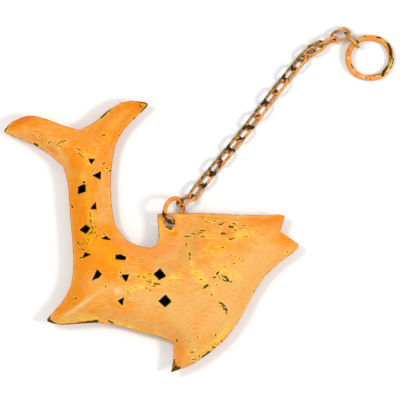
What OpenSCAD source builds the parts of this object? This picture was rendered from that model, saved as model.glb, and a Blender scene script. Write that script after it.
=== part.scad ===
// Hanging fish ornament: two pressed sheet-metal shells joined at their rim, a jump ring
// through the corner of the dorsal fin, a chain of eighteen oval links and a large hanging ring.
// It lies on a level surface, seen from above, with its head to the right.

/* [Fish] */
// Length of the fish, from the tip of the rear fluke to the lower jaw
fish_l = 147.6; // [120:0.1:180]
// Height of the fish, from the bottom fin to the top of the tail
fish_h = 135.8; // [110:0.1:165]
// Thickness of the sheet metal
sheet_t = 0.6; // [0.4:0.1:1]
// Height that each shell rises from the rim seam to its broad back
shell_rise = 6.4; // [5:0.1:9]
// Width of the flat rim where the shells meet
rim_w = 1.6; // [1:0.1:2.5]
// Width of the slope between the flat rim and the broad back
slope_w = 14; // [10:0.5:18]

/* [Hanging hole and jump ring] */
// Clearance all round the jump ring's slanting wire in the hanging hole
hole_clear = 0.3; // [0.2:0.05:0.5]
// Wire diameter of the jump ring
jump_wire_d = 2.3; // [1.8:0.1:2.6]
// Inside diameter of the jump ring
jump_inner_d = 9.9; // [9.5:0.1:11]
// Heading of the jump ring from the hole, in degrees from the fish's length
jump_heading = 73; // [68:1:78]
// Tilt of the jump ring out of the shells' plane
jump_tilt = 45; // [40:1:50]
// Place on the jump ring, from its far end, where the chain hooks on
jump_hook_a = 38; // [34:1:42]
// Place of the jump ring's butted ends, from its far end
jump_butt_a = 116; // [100:1:130]
// Gap between the butted ends of the jump ring
jump_gap = 0.4; // [0.2:0.1:0.6]

/* [Chain] */
// Wire diameter of a link
link_wire_d = 1.6; // [1.4:0.1:1.8]
// Clearance on each side of the thickest wire that runs through a link
link_side_clear = 0.25; // [0.2:0.05:0.4]
// Inside length of a link
link_inner_l = 7.75; // [7.5:0.05:9]
// Clearance between the wires of two hooked pieces
hook_clear = 0.3; // [0.2:0.05:0.4]

/* [Hanging ring] */
// Wire diameter of the hanging ring
ring_wire_d = 2.9; // [2.5:0.1:3.2]
// Inside width of the hanging ring
ring_inner_w = 17; // [14:0.1:22]
// Length of the straight run that makes the hanging ring slightly oval
ring_run = 1.8; // [1:0.1:3]
// Gap between the butted ends of the hanging ring
ring_gap = 0.4; // [0.2:0.1:0.8]

/* [Hidden] */
$fn = 48;

// How far a cutting shape runs past what it cuts
overrun = 1;

// Inner line of the fish that the shells' slopes lead up to: each place as shares of the
// fish's length and height, then the share of the full rise that the shell has there
spine_shares = [
    [0.077, 0.904, 0.45],
    [0.284, 0.811, 0.85],
    [0.430, 0.966, 0.45],
    [0.291, 0.616, 0.90],
    [0.335, 0.370, 1.00],
    [0.230, 0.244, 0.60],
    [0.528, 0.348, 1.00],
    [0.562, 0.554, 0.00],
    [0.553, 0.490, 0.00],
    [0.724, 0.370, 1.00],
    [0.873, 0.502, 0.60],
    [0.616, 0.112, 0.70]
];
// Names of the places on the inner line, in the order of that table
rear_fluke = 0;
tail_fork = 1;
front_fluke = 2;
stalk = 3;
bend = 4;
low_fin = 5;
body = 6;
hole = 7;
fin_root = 8;
head = 9;
mouth = 10;
belly = 11;

// The rim in runs, clockwise from the rear fluke. Each run has the inner places at its two
// ends, the number of steps along it, and its points as shares of the length and height
rim_run_shares = [
    [rear_fluke, rear_fluke, 4, [[0.030, 0.869], [0.000, 0.887], [0.026, 0.923]]],
    [rear_fluke, tail_fork, 7, [[0.026, 0.923], [0.083, 0.945], [0.138, 0.935], [0.196, 0.911], [0.255, 0.892]]],
    [tail_fork, front_fluke, 6, [[0.255, 0.892], [0.304, 0.919], [0.349, 0.961], [0.396, 0.993]]],
    [front_fluke, front_fluke, 6, [[0.396, 0.993], [0.440, 1.000], [0.488, 0.987], [0.446, 0.938]]],
    [front_fluke, tail_fork, 6, [[0.446, 0.938], [0.401, 0.885], [0.374, 0.823]]],
    [tail_fork, stalk, 5, [[0.374, 0.823], [0.363, 0.730], [0.364, 0.627]]],
    [stalk, bend, 6, [[0.364, 0.627], [0.377, 0.546], [0.416, 0.485]]],
    [bend, body, 5, [[0.416, 0.485], [0.463, 0.464], [0.501, 0.458]]],
    [body, fin_root, 5, [[0.501, 0.458], [0.518, 0.473], [0.525, 0.500]]],
    [fin_root, hole, 2, [[0.525, 0.500], [0.524, 0.528], [0.522, 0.552]]],
    [hole, hole, 5, [[0.522, 0.552], [0.520, 0.579], [0.538, 0.586], [0.575, 0.585]]],
    [hole, fin_root, 2, [[0.575, 0.585], [0.600, 0.585], [0.622, 0.586]]],
    [fin_root, body, 5, [[0.622, 0.586], [0.655, 0.586], [0.690, 0.586]]],
    [body, head, 5, [[0.690, 0.586], [0.730, 0.584], [0.792, 0.580]]],
    [head, mouth, 5, [[0.792, 0.580], [0.873, 0.579], [0.934, 0.582]]],
    [mouth, mouth, 1, [[0.934, 0.582], [0.954, 0.576]]],
    [mouth, mouth, 2, [[0.954, 0.576], [0.937, 0.518]]],
    [mouth, mouth, 5, [[0.937, 0.518], [0.970, 0.494], [1.000, 0.467], [0.982, 0.440]]],
    [mouth, head, 5, [[0.982, 0.440], [0.928, 0.398], [0.883, 0.352]]],
    [head, belly, 8, [[0.883, 0.352], [0.844, 0.286], [0.801, 0.197], [0.753, 0.126], [0.697, 0.071]]],
    [belly, belly, 4, [[0.697, 0.071], [0.636, 0.028], [0.567, 0.000]]],
    [belly, belly, 3, [[0.567, 0.000], [0.575, 0.057], [0.575, 0.106]]],
    [belly, head, 8, [[0.575, 0.106], [0.566, 0.115], [0.554, 0.121]]],
    [head, body, 5, [[0.554, 0.121], [0.507, 0.137], [0.446, 0.152]]],
    [body, bend, 5, [[0.446, 0.152], [0.380, 0.175], [0.311, 0.183]]],
    [bend, low_fin, 5, [[0.311, 0.183], [0.264, 0.180], [0.196, 0.175]]],
    [low_fin, low_fin, 4, [[0.196, 0.175], [0.160, 0.182], [0.146, 0.194], [0.164, 0.219]]],
    [low_fin, bend, 5, [[0.164, 0.219], [0.199, 0.263], [0.227, 0.318]]],
    [bend, stalk, 6, [[0.227, 0.318], [0.235, 0.392], [0.232, 0.473], [0.224, 0.583]]],
    [stalk, tail_fork, 5, [[0.224, 0.583], [0.216, 0.694], [0.201, 0.758]]],
    [tail_fork, rear_fluke, 7, [[0.201, 0.758], [0.145, 0.809], [0.087, 0.845], [0.030, 0.869]]]
];

// Corners of the punched holes, as shares of the fish's length and height
punched_shares = [
    [[0.288, 0.785], [0.308, 0.784], [0.297, 0.767]],
    [[0.302, 0.725], [0.328, 0.739], [0.327, 0.711]],
    [[0.253, 0.682], [0.269, 0.691], [0.276, 0.690], [0.277, 0.666], [0.251, 0.657]],
    [[0.311, 0.626], [0.314, 0.601], [0.294, 0.603]],
    [[0.258, 0.524], [0.278, 0.544], [0.292, 0.531], [0.279, 0.511]],
    [[0.333, 0.493], [0.346, 0.502], [0.362, 0.488]],
    [[0.267, 0.422], [0.275, 0.441], [0.293, 0.434]],
    [[0.379, 0.432], [0.396, 0.434], [0.414, 0.425], [0.412, 0.415], [0.381, 0.418]],
    [[0.301, 0.341], [0.316, 0.378], [0.332, 0.363], [0.323, 0.351]],
    [[0.399, 0.359], [0.424, 0.361], [0.415, 0.334]],
    [[0.509, 0.363], [0.530, 0.382], [0.549, 0.356], [0.528, 0.342]],
    [[0.388, 0.264], [0.407, 0.276], [0.402, 0.248]],
    [[0.525, 0.264], [0.548, 0.285], [0.568, 0.263], [0.547, 0.242]]
];

// Number of facet rings from the rim to the inner line
slope_rings = 7;

// Heading of each link in degrees, from the fish to the hanging ring
link_headings = [29, 55, 51, 50, 50, 51, 51, 52, 53, 53, 51, 51, 50, 42, 30, 28, 24, -48];
// Roll of each link about its own length in degrees: its width is level at 0 and upright at 90
link_rolls = [-56, 38, 135, 45, 135, 45, 135, 45, 135, 45, 135, 45, 135, 45, 150, 75, 0, 90];
// How far each link is pushed back along its neighbour, as a share of the link's inside length
link_slack_shares = [0, 0, 0, 0, 0, 0, 0, 0, 0, 0, 0, 0, 0, 0.16, 0.29, 0.1, 0, 0];
link_count = len(link_headings);

// Places worked out from the sizes above
rim_z = shell_rise + sheet_t;
hole_d = jump_wire_d / sin(jump_tilt) + 2 * sheet_t / tan(jump_tilt) + 2 * hole_clear;
link_inner_w = max(ring_wire_d, jump_wire_d, link_wire_d) + 2 * link_side_clear;
hole_at = [spine_shares[hole][0] * fish_l, spine_shares[hole][1] * fish_h, rim_z];
jump_r = (jump_inner_d + jump_wire_d) / 2;
link_pitch_l = link_inner_l + link_wire_d;
link_half_w = (link_inner_w + link_wire_d) / 2;
ring_r = (ring_inner_w + ring_wire_d) / 2;

// Directions of the jump ring: along its heading, across its plane and square to its plane
jump_u = [cos(jump_heading), sin(jump_heading), 0];
jump_v = [sin(jump_heading) * cos(jump_tilt), -cos(jump_heading) * cos(jump_tilt), -sin(jump_tilt)];
jump_at = hole_at + jump_r * jump_u;
// Where the chain hooks on the jump ring, and the direction of the wire there
jump_hook = jump_at + jump_r * (cos(jump_hook_a) * jump_u + sin(jump_hook_a) * jump_v);
jump_wire_dir = cos(jump_hook_a) * jump_v - sin(jump_hook_a) * jump_u;

function unit(v) = v / norm(v);
function level(v) = unit([v[0], v[1], 0]);

// Direction of a piece with a heading that climbs by the given share of its length
function heading_dir(a, climb) = [cos(a) * sqrt(1 - climb * climb), sin(a) * sqrt(1 - climb * climb), climb];
// Direction of a link's width when it runs along d with a roll
function width_dir(d, roll) =
    let (side = level([-d[1], d[0], 0]), up = cross(d, side))
    cos(roll) * side + sin(roll) * up;

// Height of a link's middle line when it lies on the table, and at the joint after it
function lying_z(k) = link_half_w * abs(sin(link_rolls[k])) + link_wire_d / 2;
function joint_z(k) = max(lying_z(k), lying_z(min(k + 1, link_count - 1)));

// A link is its rear crown, its front crown, its direction and its width direction. The rear
// crown sits behind the joint that it hooks on, along the level direction e
function link_on(k, joint, e, gap, width) =
    let (
        rear = joint - gap * e,
        d = heading_dir(link_headings[k], (joint_z(k) - rear[2]) / link_pitch_l),
        w = is_undef(width) ? width_dir(d, link_rolls[k]) : unit(cross(width, d))
    )
    [rear, rear + link_pitch_l * d, d, w];

first_dir = heading_dir(link_headings[0], (joint_z(0) - jump_hook[2]) / link_pitch_l);
first_gap = (jump_wire_d + link_wire_d) / 2 + hook_clear;
first_link = link_on(0, jump_hook, first_dir, first_gap, jump_wire_dir);

function next_link(k, last) =
    let (
        d = heading_dir(link_headings[k], 0),
        e = level(d - (d * last[3]) * last[3]),
        gap = link_wire_d + hook_clear + link_slack_shares[k] * link_inner_l
    )
    link_on(k, last[1], e, gap, undef);
function chain_from(k, last) = k >= link_count ? [] : let (l = next_link(k, last)) concat([l], chain_from(k + 1, l));
chain = concat([first_link], chain_from(1, first_link));

// The hanging ring's wire runs through the round front end of the last link, and the ring
// leans from there down to the table
last_link = chain[link_count - 1];
ring_heading = link_headings[link_count - 1];
ring_hook = last_link[1] - link_half_w * last_link[2];
ring_reach = ring_r * 2 + ring_run * abs(cos(ring_heading));
ring_lean = asin((ring_hook[2] - ring_wire_d / 2) / ring_reach);
ring_centre = [ring_hook[0], ring_hook[1]] + ring_r * [cos(ring_heading), sin(ring_heading)] + [ring_run / 2, 0];

// How far up the table a link reaches: the middles of its two round ends, and their wire
function link_reach_y(l) =
    max(l[0][1] + link_half_w * l[2][1], l[1][1] - link_half_w * l[2][1])
    + link_half_w * norm([l[2][1], l[3][1]]) + link_wire_d / 2;

// The whole object's extent in plan, from the fish's rear and bottom tips
extent_x = ring_centre[0] + (ring_run + ring_wire_d) / 2 + ring_r;
extent_y = max([for (l = chain) link_reach_y(l)]);

// A smooth curve through four points, at the share t from b to c
function curve_at(a, b, c, d, t) =
    (2 * b + (c - a) * t + (2 * a - 5 * b + 4 * c - d) * t * t + (3 * b - a - 3 * c + d) * t * t * t) / 2;
// The point at the share s along a smooth curve through the points p
function curve(p, s) =
    let (
        last = len(p) - 1,
        i = min(floor(s * last), last - 1),
        before = i > 0 ? p[i - 1] : 2 * p[0] - p[1],
        after = i + 2 <= last ? p[i + 2] : 2 * p[last] - p[last - 1]
    )
    curve_at(before, p[i], p[i + 1], after, s * last - i);

function eased(t) = t * t * (3 - 2 * t);
// Place and rise share on the inner line at step i of n from place a to place b, the same in
// both directions of travel
function spine_between(a, b, i, n) =
    a > b ? spine_between(b, a, n - i, n) : [
        (spine_shares[a][0] + (spine_shares[b][0] - spine_shares[a][0]) * i / n) * fish_l,
        (spine_shares[a][1] + (spine_shares[b][1] - spine_shares[a][1]) * i / n) * fish_h,
        spine_shares[a][2] + (spine_shares[b][2] - spine_shares[a][2]) * eased(i / n)
    ];

// Each rib runs from a point of the rim to its place on the inner line
function ribs() = [
    for (run = rim_run_shares) for (i = [0:run[2] - 1])
        let (p = curve(run[3], i / run[2]))
        [[p[0] * fish_l, p[1] * fish_h], spine_between(run[0], run[1], i, run[2])]
];

// Rise of a shell at a distance from the rim along a rib of length l that ends at the rise top
function rise_at(dist, l, top) = top * shell_rise * sin(90 * min(1, max(0, dist - rim_w) / min(slope_w, l - rim_w)));

// Point j of a rib: the rim, the inner edge of the flat rim, then equal steps to the inner line
function rib_point(rib, j) =
    let (
        from = rib[0],
        to = [rib[1][0], rib[1][1]],
        l = norm(to - from),
        dist = j == 0 ? 0 : rim_w + (l - rim_w) * (j - 1) / (slope_rings - 1),
        at = j == slope_rings ? to : from + (to - from) * dist / l
    )
    [at[0], at[1], j == slope_rings ? rib[1][2] * shell_rise : rise_at(dist, l, rib[1][2])];

// One pressed shell with its rim seam at height zero, domed upwards
module pressed_shell() {
    rib_list = ribs();
    n = len(rib_list);
    inside = [for (j = [0:slope_rings]) for (rib = rib_list) rib_point(rib, j)];
    outside = [for (p = inside) [p[0], p[1], p[2] + sheet_t]];
    // A last ring that turns about one place has no width there, so its ribs close in triangles
    pinched = [for (i = [0:n - 1]) rib_list[i][1] == rib_list[(i + 1) % n][1]];
    upper = [
        for (j = [0:slope_rings - 1]) for (i = [0:n - 1])
            let (a = j * n + i, b = j * n + (i + 1) % n, c = b + n, d = a + n)
            each (j == slope_rings - 1 && pinched[i] ? [[a, c, b]] : [[a, c, b], [a, d, c]])
    ];
    lower = [for (f = upper) [f[0], f[2], f[1]] + [1, 1, 1] * len(inside)];
    edge = [
        for (i = [0:n - 1])
            let (a = i, b = (i + 1) % n, c = b + len(inside), d = a + len(inside))
            each [[a, b, c], [a, c, d]]
    ];
    polyhedron(concat(outside, inside), concat(upper, lower, edge), convexity = 8);
}

// The hanging hole, through both shells
module hanging_hole() {
    translate([hole_at[0], hole_at[1], -overrun])
        cylinder(d = hole_d, h = rim_z + overrun * 2);
}

module front_shell() {
    color("orange")
    translate([0, 0, rim_z])
    difference() {
        pressed_shell();
        hanging_hole();
        for (corners = punched_shares)
            translate([0, 0, -overrun])
                linear_extrude(height = rim_z + overrun * 2)
                    polygon([for (c = corners) [c[0] * fish_l, c[1] * fish_h]]);
    }
}

module back_shell() {
    color("darkorange")
    translate([0, 0, rim_z])
    mirror([0, 0, 1])
    difference() {
        pressed_shell();
        hanging_hole();
    }
}

// Puts what is drawn along +X with its width along +Y at a place in space
module along(at, d, w) {
    n = cross(d, w);
    multmatrix([
        [d[0], w[0], n[0], at[0]],
        [d[1], w[1], n[1], at[1]],
        [d[2], w[2], n[2], at[2]]
    ])
    children();
}

// A closed loop of round wire: two half rings and two straight runs
module oval_loop(wire_d, inner_w, run) {
    r = (inner_w + wire_d) / 2;
    for (side = [-1, 1]) {
        translate([side * run / 2, 0, 0])
            rotate([0, 0, -90 * side])
                rotate_extrude(angle = 180)
                    translate([r, 0, 0])
                        circle(d = wire_d);
        translate([-run / 2, side * r, 0])
            rotate([0, 90, 0])
                cylinder(d = wire_d, h = run);
    }
}

module fish_ring() {
    gap_a = jump_gap / jump_r * 180 / PI;
    color("orange")
    along(jump_at, jump_u, -jump_v)
        rotate([0, 0, jump_butt_a])
            rotate_extrude(angle = 360 - gap_a)
                translate([jump_r, 0, 0])
                    circle(d = jump_wire_d);
}

module chain_link(k) {
    link = chain[k - 1];
    color("goldenrod")
    along((link[0] + link[1]) / 2, link[2], link[3])
        oval_loop(link_wire_d, link_inner_w, link_inner_l - link_inner_w);
}

module hanging_ring() {
    color("orange")
    translate(ring_hook)
    rotate([0, 0, ring_heading])
    rotate([0, ring_lean, 0])
    translate([ring_r, 0, 0])
    rotate([0, 0, -ring_heading])
    translate([ring_run / 2, 0, 0])
    difference() {
        oval_loop(ring_wire_d, ring_inner_w, ring_run);
        translate([0, -ring_r, 0])
            cube([ring_gap, ring_wire_d + overrun, ring_wire_d + overrun], center = true);
    }
}

// The origin is under the middle of the whole object, on the table
module place() {
    translate([-extent_x / 2, -extent_y / 2, 0]) children();
}

place() front_shell();
place() back_shell();
place() fish_ring();
place() chain_link(1);  // chain_link_01
place() chain_link(2);  // chain_link_02
place() chain_link(3);  // chain_link_03
place() chain_link(4);  // chain_link_04
place() chain_link(5);  // chain_link_05
place() chain_link(6);  // chain_link_06
place() chain_link(7);  // chain_link_07
place() chain_link(8);  // chain_link_08
place() chain_link(9);  // chain_link_09
place() chain_link(10);  // chain_link_10
place() chain_link(11);  // chain_link_11
place() chain_link(12);  // chain_link_12
place() chain_link(13);  // chain_link_13
place() chain_link(14);  // chain_link_14
place() chain_link(15);  // chain_link_15
place() chain_link(16);  // chain_link_16
place() chain_link(17);  // chain_link_17
place() chain_link(18);  // chain_link_18
place() hanging_ring();
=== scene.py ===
# %% [markdown]
# # A hanging fish of painted sheet iron
# The real ornament is a hollow fish made of two iron sheets, hammered into shallow dishes and
# soldered together at their rims. A jump ring goes through the corner of its dorsal fin, and a
# chain of wire links leads to a large ring that hangs on a hook. It is painted orange over a
# yellow coat, and rubbed through to dark iron in many places.
#
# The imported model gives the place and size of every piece. This script makes the surfaces that
# the eye sees: the hammered shells with their punched holes, the bent wires, and the worn paint.

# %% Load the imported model
import math

import bpy
import numpy as np
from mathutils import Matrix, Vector
from mathutils.geometry import delaunay_2d_cdt


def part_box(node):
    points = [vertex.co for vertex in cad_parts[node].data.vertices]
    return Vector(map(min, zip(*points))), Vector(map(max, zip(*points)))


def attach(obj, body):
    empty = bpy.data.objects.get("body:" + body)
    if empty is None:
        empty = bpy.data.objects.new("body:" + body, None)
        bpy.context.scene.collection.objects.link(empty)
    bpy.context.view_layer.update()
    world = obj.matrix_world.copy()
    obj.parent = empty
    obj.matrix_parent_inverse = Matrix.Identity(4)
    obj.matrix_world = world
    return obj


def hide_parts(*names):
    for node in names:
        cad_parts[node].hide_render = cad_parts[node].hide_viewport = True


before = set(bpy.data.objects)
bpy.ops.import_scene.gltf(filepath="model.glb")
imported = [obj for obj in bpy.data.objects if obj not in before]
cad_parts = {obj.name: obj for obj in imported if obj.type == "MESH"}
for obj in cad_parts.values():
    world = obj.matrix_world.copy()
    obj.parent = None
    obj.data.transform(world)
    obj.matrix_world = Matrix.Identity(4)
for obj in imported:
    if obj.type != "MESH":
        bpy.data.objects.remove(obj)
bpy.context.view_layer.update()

print(len(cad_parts), "pieces in the packed model")

# %% [markdown]
# ## Sizes
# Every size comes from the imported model's boxes or from a named value in millimetres. Places on
# the fish were read from the photograph, which looks straight down, so one scale and two tips of
# the fish turn a pixel into a place.

# %% Sizes and places
MM = 0.001
SHEET_T = 0.6 * MM

front_low, front_high = (np.array(corner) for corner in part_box("front_shell"))
fish_size = (front_high - front_low)[:2]
rim_z = front_low[2]
shell_rise = front_high[2] - rim_z - SHEET_T

PHOTO_PX = 400
MM_PER_PX = 0.5
REAR_TIP_PX = 4.2
BOTTOM_TIP_PX = 372.4
BODY_MIDDLE_PX = (200, 280)


def from_photo(places_px):
    """Metres from pixels: the pixels past the fish's rear tip and above its bottom tip, times
    the scale, added to the corner of the shell's box."""
    past_tips = np.asarray(places_px, float) * [1, -1] + [-REAR_TIP_PX, BOTTOM_TIP_PX]
    return front_low[:2] + past_tips * MM_PER_PX * MM


print("fish", np.round(fish_size / MM, 1), "mm, seam at", round(rim_z / MM, 2), "mm")

# %% [markdown]
# ## The camera
# The photograph looks straight down at the table, and its edges show almost no perspective, so
# a long lens stands far away. The lens follows from the width of the view at the height of the
# seam.

# %% Camera
CAMERA_HEIGHT = 2.5

camera_data = bpy.data.cameras.new("camera")
camera_data.lens = camera_data.sensor_width * CAMERA_HEIGHT / (PHOTO_PX * MM_PER_PX * MM)
camera = bpy.data.objects.new("camera", camera_data)
camera.location = (*from_photo([PHOTO_PX / 2, PHOTO_PX / 2]), rim_z + CAMERA_HEIGHT)
bpy.context.collection.objects.link(camera)
bpy.context.scene.camera = camera
print("lens", round(camera_data.lens), "mm")

# %% [markdown]
# ## The rim of the fish
# The rim is the line where the two shells meet. It could be one long curve, but the fish has
# sharp tips, so it is a list of runs: each run is smooth and two runs meet in a corner. The
# points are shares of the fish's length and height, as in the construction model.

# %% Rim
# Each run goes on from the last point of the run before it, and the first from the last run's
RIM_RUN_SHARES = [
    [(0, 0.887), (0.026, 0.923)],
    [(0.083, 0.945), (0.138, 0.935), (0.196, 0.911), (0.255, 0.892)],
    [(0.304, 0.919), (0.349, 0.961), (0.396, 0.993)],
    [(0.44, 1), (0.488, 0.987), (0.446, 0.938)],
    [(0.401, 0.885), (0.374, 0.823)],
    [(0.363, 0.73), (0.364, 0.627)],
    [(0.377, 0.546), (0.416, 0.485)],
    [(0.463, 0.464), (0.501, 0.458)],
    [(0.518, 0.473), (0.525, 0.5)],
    [(0.524, 0.528), (0.522, 0.552)],
    [(0.52, 0.579), (0.538, 0.586), (0.575, 0.585)],
    [(0.6, 0.585), (0.622, 0.586)],
    [(0.655, 0.586), (0.69, 0.586)],
    [(0.73, 0.584), (0.792, 0.58)],
    [(0.873, 0.579), (0.934, 0.582)],
    [(0.954, 0.576)],
    [(0.937, 0.518)],
    [(0.97, 0.494), (1, 0.467), (0.982, 0.44)],
    [(0.928, 0.398), (0.883, 0.352)],
    [(0.844, 0.286), (0.801, 0.197), (0.753, 0.126), (0.697, 0.071)],
    [(0.636, 0.028), (0.567, 0)],
    [(0.575, 0.057), (0.575, 0.106)],
    [(0.566, 0.115), (0.554, 0.121)],
    [(0.507, 0.137), (0.446, 0.152)],
    [(0.38, 0.175), (0.311, 0.183)],
    [(0.264, 0.18), (0.196, 0.175)],
    [(0.16, 0.182), (0.146, 0.194), (0.164, 0.219)],
    [(0.199, 0.263), (0.227, 0.318)],
    [(0.235, 0.392), (0.232, 0.473), (0.224, 0.583)],
    [(0.216, 0.694), (0.201, 0.758)],
    [(0.145, 0.809), (0.087, 0.845), (0.03, 0.869)],
]
RIM_SPACING = 0.4 * MM


def smooth_run(points, spacing):
    """A curve through the points. Between b and c, with a before them and d after, the place at
    the share t is half of 2b + (c - a) t + (2a - 5b + 4c - d) t^2 + (3b - a - 3c + d) t^3."""
    points = np.asarray(points)
    padded = np.vstack([2 * points[0] - points[1], points, 2 * points[-1] - points[-2]])
    length = np.linalg.norm(np.diff(points, axis=0), axis=1).sum()
    steps = max(2, round(length / spacing))
    at = np.arange(steps) / steps * (len(points) - 1)
    i = at.astype(int)
    t = (at - i)[:, None]
    a, b, c, d = padded[i], padded[i + 1], padded[i + 2], padded[i + 3]
    cubic = (2 * a - 5 * b + 4 * c - d) * t**2 + (3 * b - a - 3 * c + d) * t**3
    return (2 * b + (c - a) * t + cubic) / 2


def anticlockwise(loop):
    """The loop, turned over if twice its area, the sum of x y' - x' y, is negative."""
    x, y = loop.T
    return loop if (x * np.roll(y, -1) - np.roll(x, -1) * y).sum() > 0 else loop[::-1]


rim_runs = [
    smooth_run(np.array([before[-1], *run]) * fish_size, RIM_SPACING)
    for before, run in zip([RIM_RUN_SHARES[-1], *RIM_RUN_SHARES], RIM_RUN_SHARES)
]
rim = anticlockwise(front_low[:2] + np.vstack(rim_runs))
print(len(rim), "points on the rim")

# %% [markdown]
# ## The punched holes
# Thirteen holes were cut with a straight chisel, so their corners are sharp and each is a bit
# different. They go through the front sheet only. The round hole in the dorsal fin goes through
# both sheets.

# %% Holes
PUNCHED_SHARES = [
    [(0.288, 0.785), (0.308, 0.784), (0.297, 0.767)],
    [(0.302, 0.725), (0.328, 0.739), (0.327, 0.711)],
    [(0.253, 0.682), (0.269, 0.691), (0.276, 0.69), (0.277, 0.666), (0.251, 0.657)],
    [(0.311, 0.626), (0.314, 0.601), (0.294, 0.603)],
    [(0.258, 0.524), (0.278, 0.544), (0.292, 0.531), (0.279, 0.511)],
    [(0.333, 0.493), (0.346, 0.502), (0.362, 0.488)],
    [(0.267, 0.422), (0.275, 0.441), (0.293, 0.434)],
    [(0.379, 0.432), (0.396, 0.434), (0.414, 0.425), (0.412, 0.415), (0.381, 0.418)],
    [(0.301, 0.341), (0.316, 0.378), (0.332, 0.363), (0.323, 0.351)],
    [(0.399, 0.359), (0.424, 0.361), (0.415, 0.334)],
    [(0.509, 0.363), (0.53, 0.382), (0.549, 0.356), (0.528, 0.342)],
    [(0.388, 0.264), (0.407, 0.276), (0.402, 0.248)],
    [(0.525, 0.264), (0.548, 0.285), (0.568, 0.263), (0.547, 0.242)],
]
HOLE_SPACING = 0.35 * MM
HANGING_HOLE_SHARE = (0.562, 0.554)
HANGING_HOLE_D = 5.05 * MM


def straight_loop(corners, spacing):
    """Points along the straight sides between the corners, the last side closing the loop."""
    sides = zip(corners, np.roll(corners, -1, axis=0))
    return np.vstack([
        a + (b - a) * np.arange(n)[:, None] / n
        for a, b in sides
        for n in [max(2, round(np.linalg.norm(b - a) / spacing))]
    ])


def round_loop(middle, diameter, spacing):
    """Points on a circle: the middle plus the radius along the cosine and sine of each angle."""
    n = round(math.pi * diameter / spacing)
    angle = np.arange(n) / n * 2 * math.pi
    return middle + np.stack([np.cos(angle), np.sin(angle)], axis=1) * diameter / 2


punched_corners = [front_low[:2] + np.array(corners) * fish_size for corners in PUNCHED_SHARES]
punched_holes = [anticlockwise(straight_loop(corners, HOLE_SPACING)) for corners in punched_corners]
hole_middle = front_low[:2] + np.array(HANGING_HOLE_SHARE) * fish_size
hanging_hole = round_loop(hole_middle, HANGING_HOLE_D, HOLE_SPACING)
print(len(punched_holes), "punched holes and the hanging hole")

# %% [markdown]
# ## Distances
# The height of the sheet depends on how far a place is from the rim, so the script needs two
# measures for thousands of places at once. The exact distance shapes the sheet's edge. It has a
# crease halfway between two edges, so the broad form uses a smooth stand-in instead.

# %% Distances
BLOCK = 2000
# Least squared distance, in square metres, so that no place on the rim divides by nothing
LEAST_SQUARE = 1e-12


def line_distance(places, line):
    """Distance from each place to a line of points: the place is dropped square onto each piece
    of the line, kept between its ends, and the shortest drop is the distance."""
    shortest = np.full(len(places), np.inf)
    for start, end in zip(line[:-1], line[1:]):
        share = np.clip((places - start) @ (end - start) / ((end - start)**2).sum(), 0, 1)
        drop = places - start - share[:, None] * (end - start)
        shortest = np.minimum(shortest, (drop**2).sum(axis=1))
    return np.sqrt(shortest)


def blocks_of(places):
    """The places in blocks, so that tables of all distances stay small."""
    return [places[first:first + BLOCK] for first in range(0, len(places), BLOCK)]


def squared_distances(block, points):
    """Table of r^2 = p^2 + q^2 - 2 p q between the places of a block and the points."""
    return (block**2).sum(axis=1)[:, None] + (points**2).sum(axis=1) - 2 * block @ points.T


def loop_distance(places, loop):
    """Distance from each place to a closed loop of close points: the nearest point is found, and
    the place is dropped square onto the loop's pieces before and after it."""
    nearest = np.concatenate([squared_distances(b, loop).argmin(axis=1) for b in blocks_of(places)])
    shortest = np.full(len(places), np.inf)
    for first in (nearest - 1, nearest):
        start, step = loop[first], loop[(first + 1) % len(loop)] - loop[first]
        share = np.clip(((places - start) * step).sum(axis=1) / (step**2).sum(axis=1), 0, 1)
        drop = places - start - share[:, None] * step
        shortest = np.minimum(shortest, (drop**2).sum(axis=1))
    return np.sqrt(shortest)


def pillow_depth(places):
    """A smooth distance to the rim: with r the distance to each short piece ds of the rim, it is
    (2 / pi times the sum of ds / r^4) to the power -1/3. Beside one straight edge it equals the
    distance, and it has no crease anywhere."""
    weight = np.linalg.norm(np.roll(rim, -1, axis=0) - rim, axis=1)
    totals = [
        np.maximum(squared_distances(block, rim), LEAST_SQUARE)**-2 @ weight
        for block in blocks_of(places)
    ]
    return (2 / math.pi * np.concatenate(totals))**(-1 / 3)


def inside(places, loop):
    """True where a ray to the right crosses the loop an odd number of times."""
    x, y = loop.T
    x_next, y_next = np.roll(loop, -1, axis=0).T
    per_y = (x_next - x) / np.where(y_next == y, 1, y_next - y)
    answers = []
    for block in blocks_of(places):
        px, py = block.T[:, :, None]
        spans = (y > py) != (y_next > py)
        answers.append((spans & (px < x + (py - y) * per_y)).sum(axis=1) % 2 == 1)
    return np.concatenate(answers)


print("middle of the body is", round(pillow_depth(from_photo([BODY_MIDDLE_PX]))[0] / MM, 1), "mm deep")

# %% [markdown]
# ## The broad form
# Each shell is a shallow dish: flat at the rim, then a slope, then a broad back. A hyperbolic
# tangent of the depth gives that slope. The construction model says how high the shell is at
# some inner places, so the dish is scaled between them, each place weighing by its nearness.
# Around the hanging hole the sheets stay pressed flat together.

# %% Broad form
INNER_SHARES = np.array([
    (0.077, 0.904, 0.45), (0.284, 0.811, 0.85), (0.430, 0.966, 0.45), (0.291, 0.616, 0.90),
    (0.335, 0.370, 1.00), (0.230, 0.244, 0.60), (0.528, 0.348, 1.00), (0.724, 0.370, 1.00),
    (0.873, 0.502, 0.60), (0.616, 0.112, 0.70),
])
FIN_ROOT_SHARE = (0.553, 0.490)
RIM_W = 1.0 * MM
FOOT = 0.6 * MM
SLOPE_W = 9 * MM
PLACE_REACH = 9 * MM
PAD_R = 4.5 * MM
PAD_FADE = 15 * MM


def eased(t):
    """Smooth step from 0 to 1: 3 t^2 - 2 t^3, with t kept between 0 and 1."""
    t = np.clip(t, 0, 1)
    return t * t * (3 - 2 * t)


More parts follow.
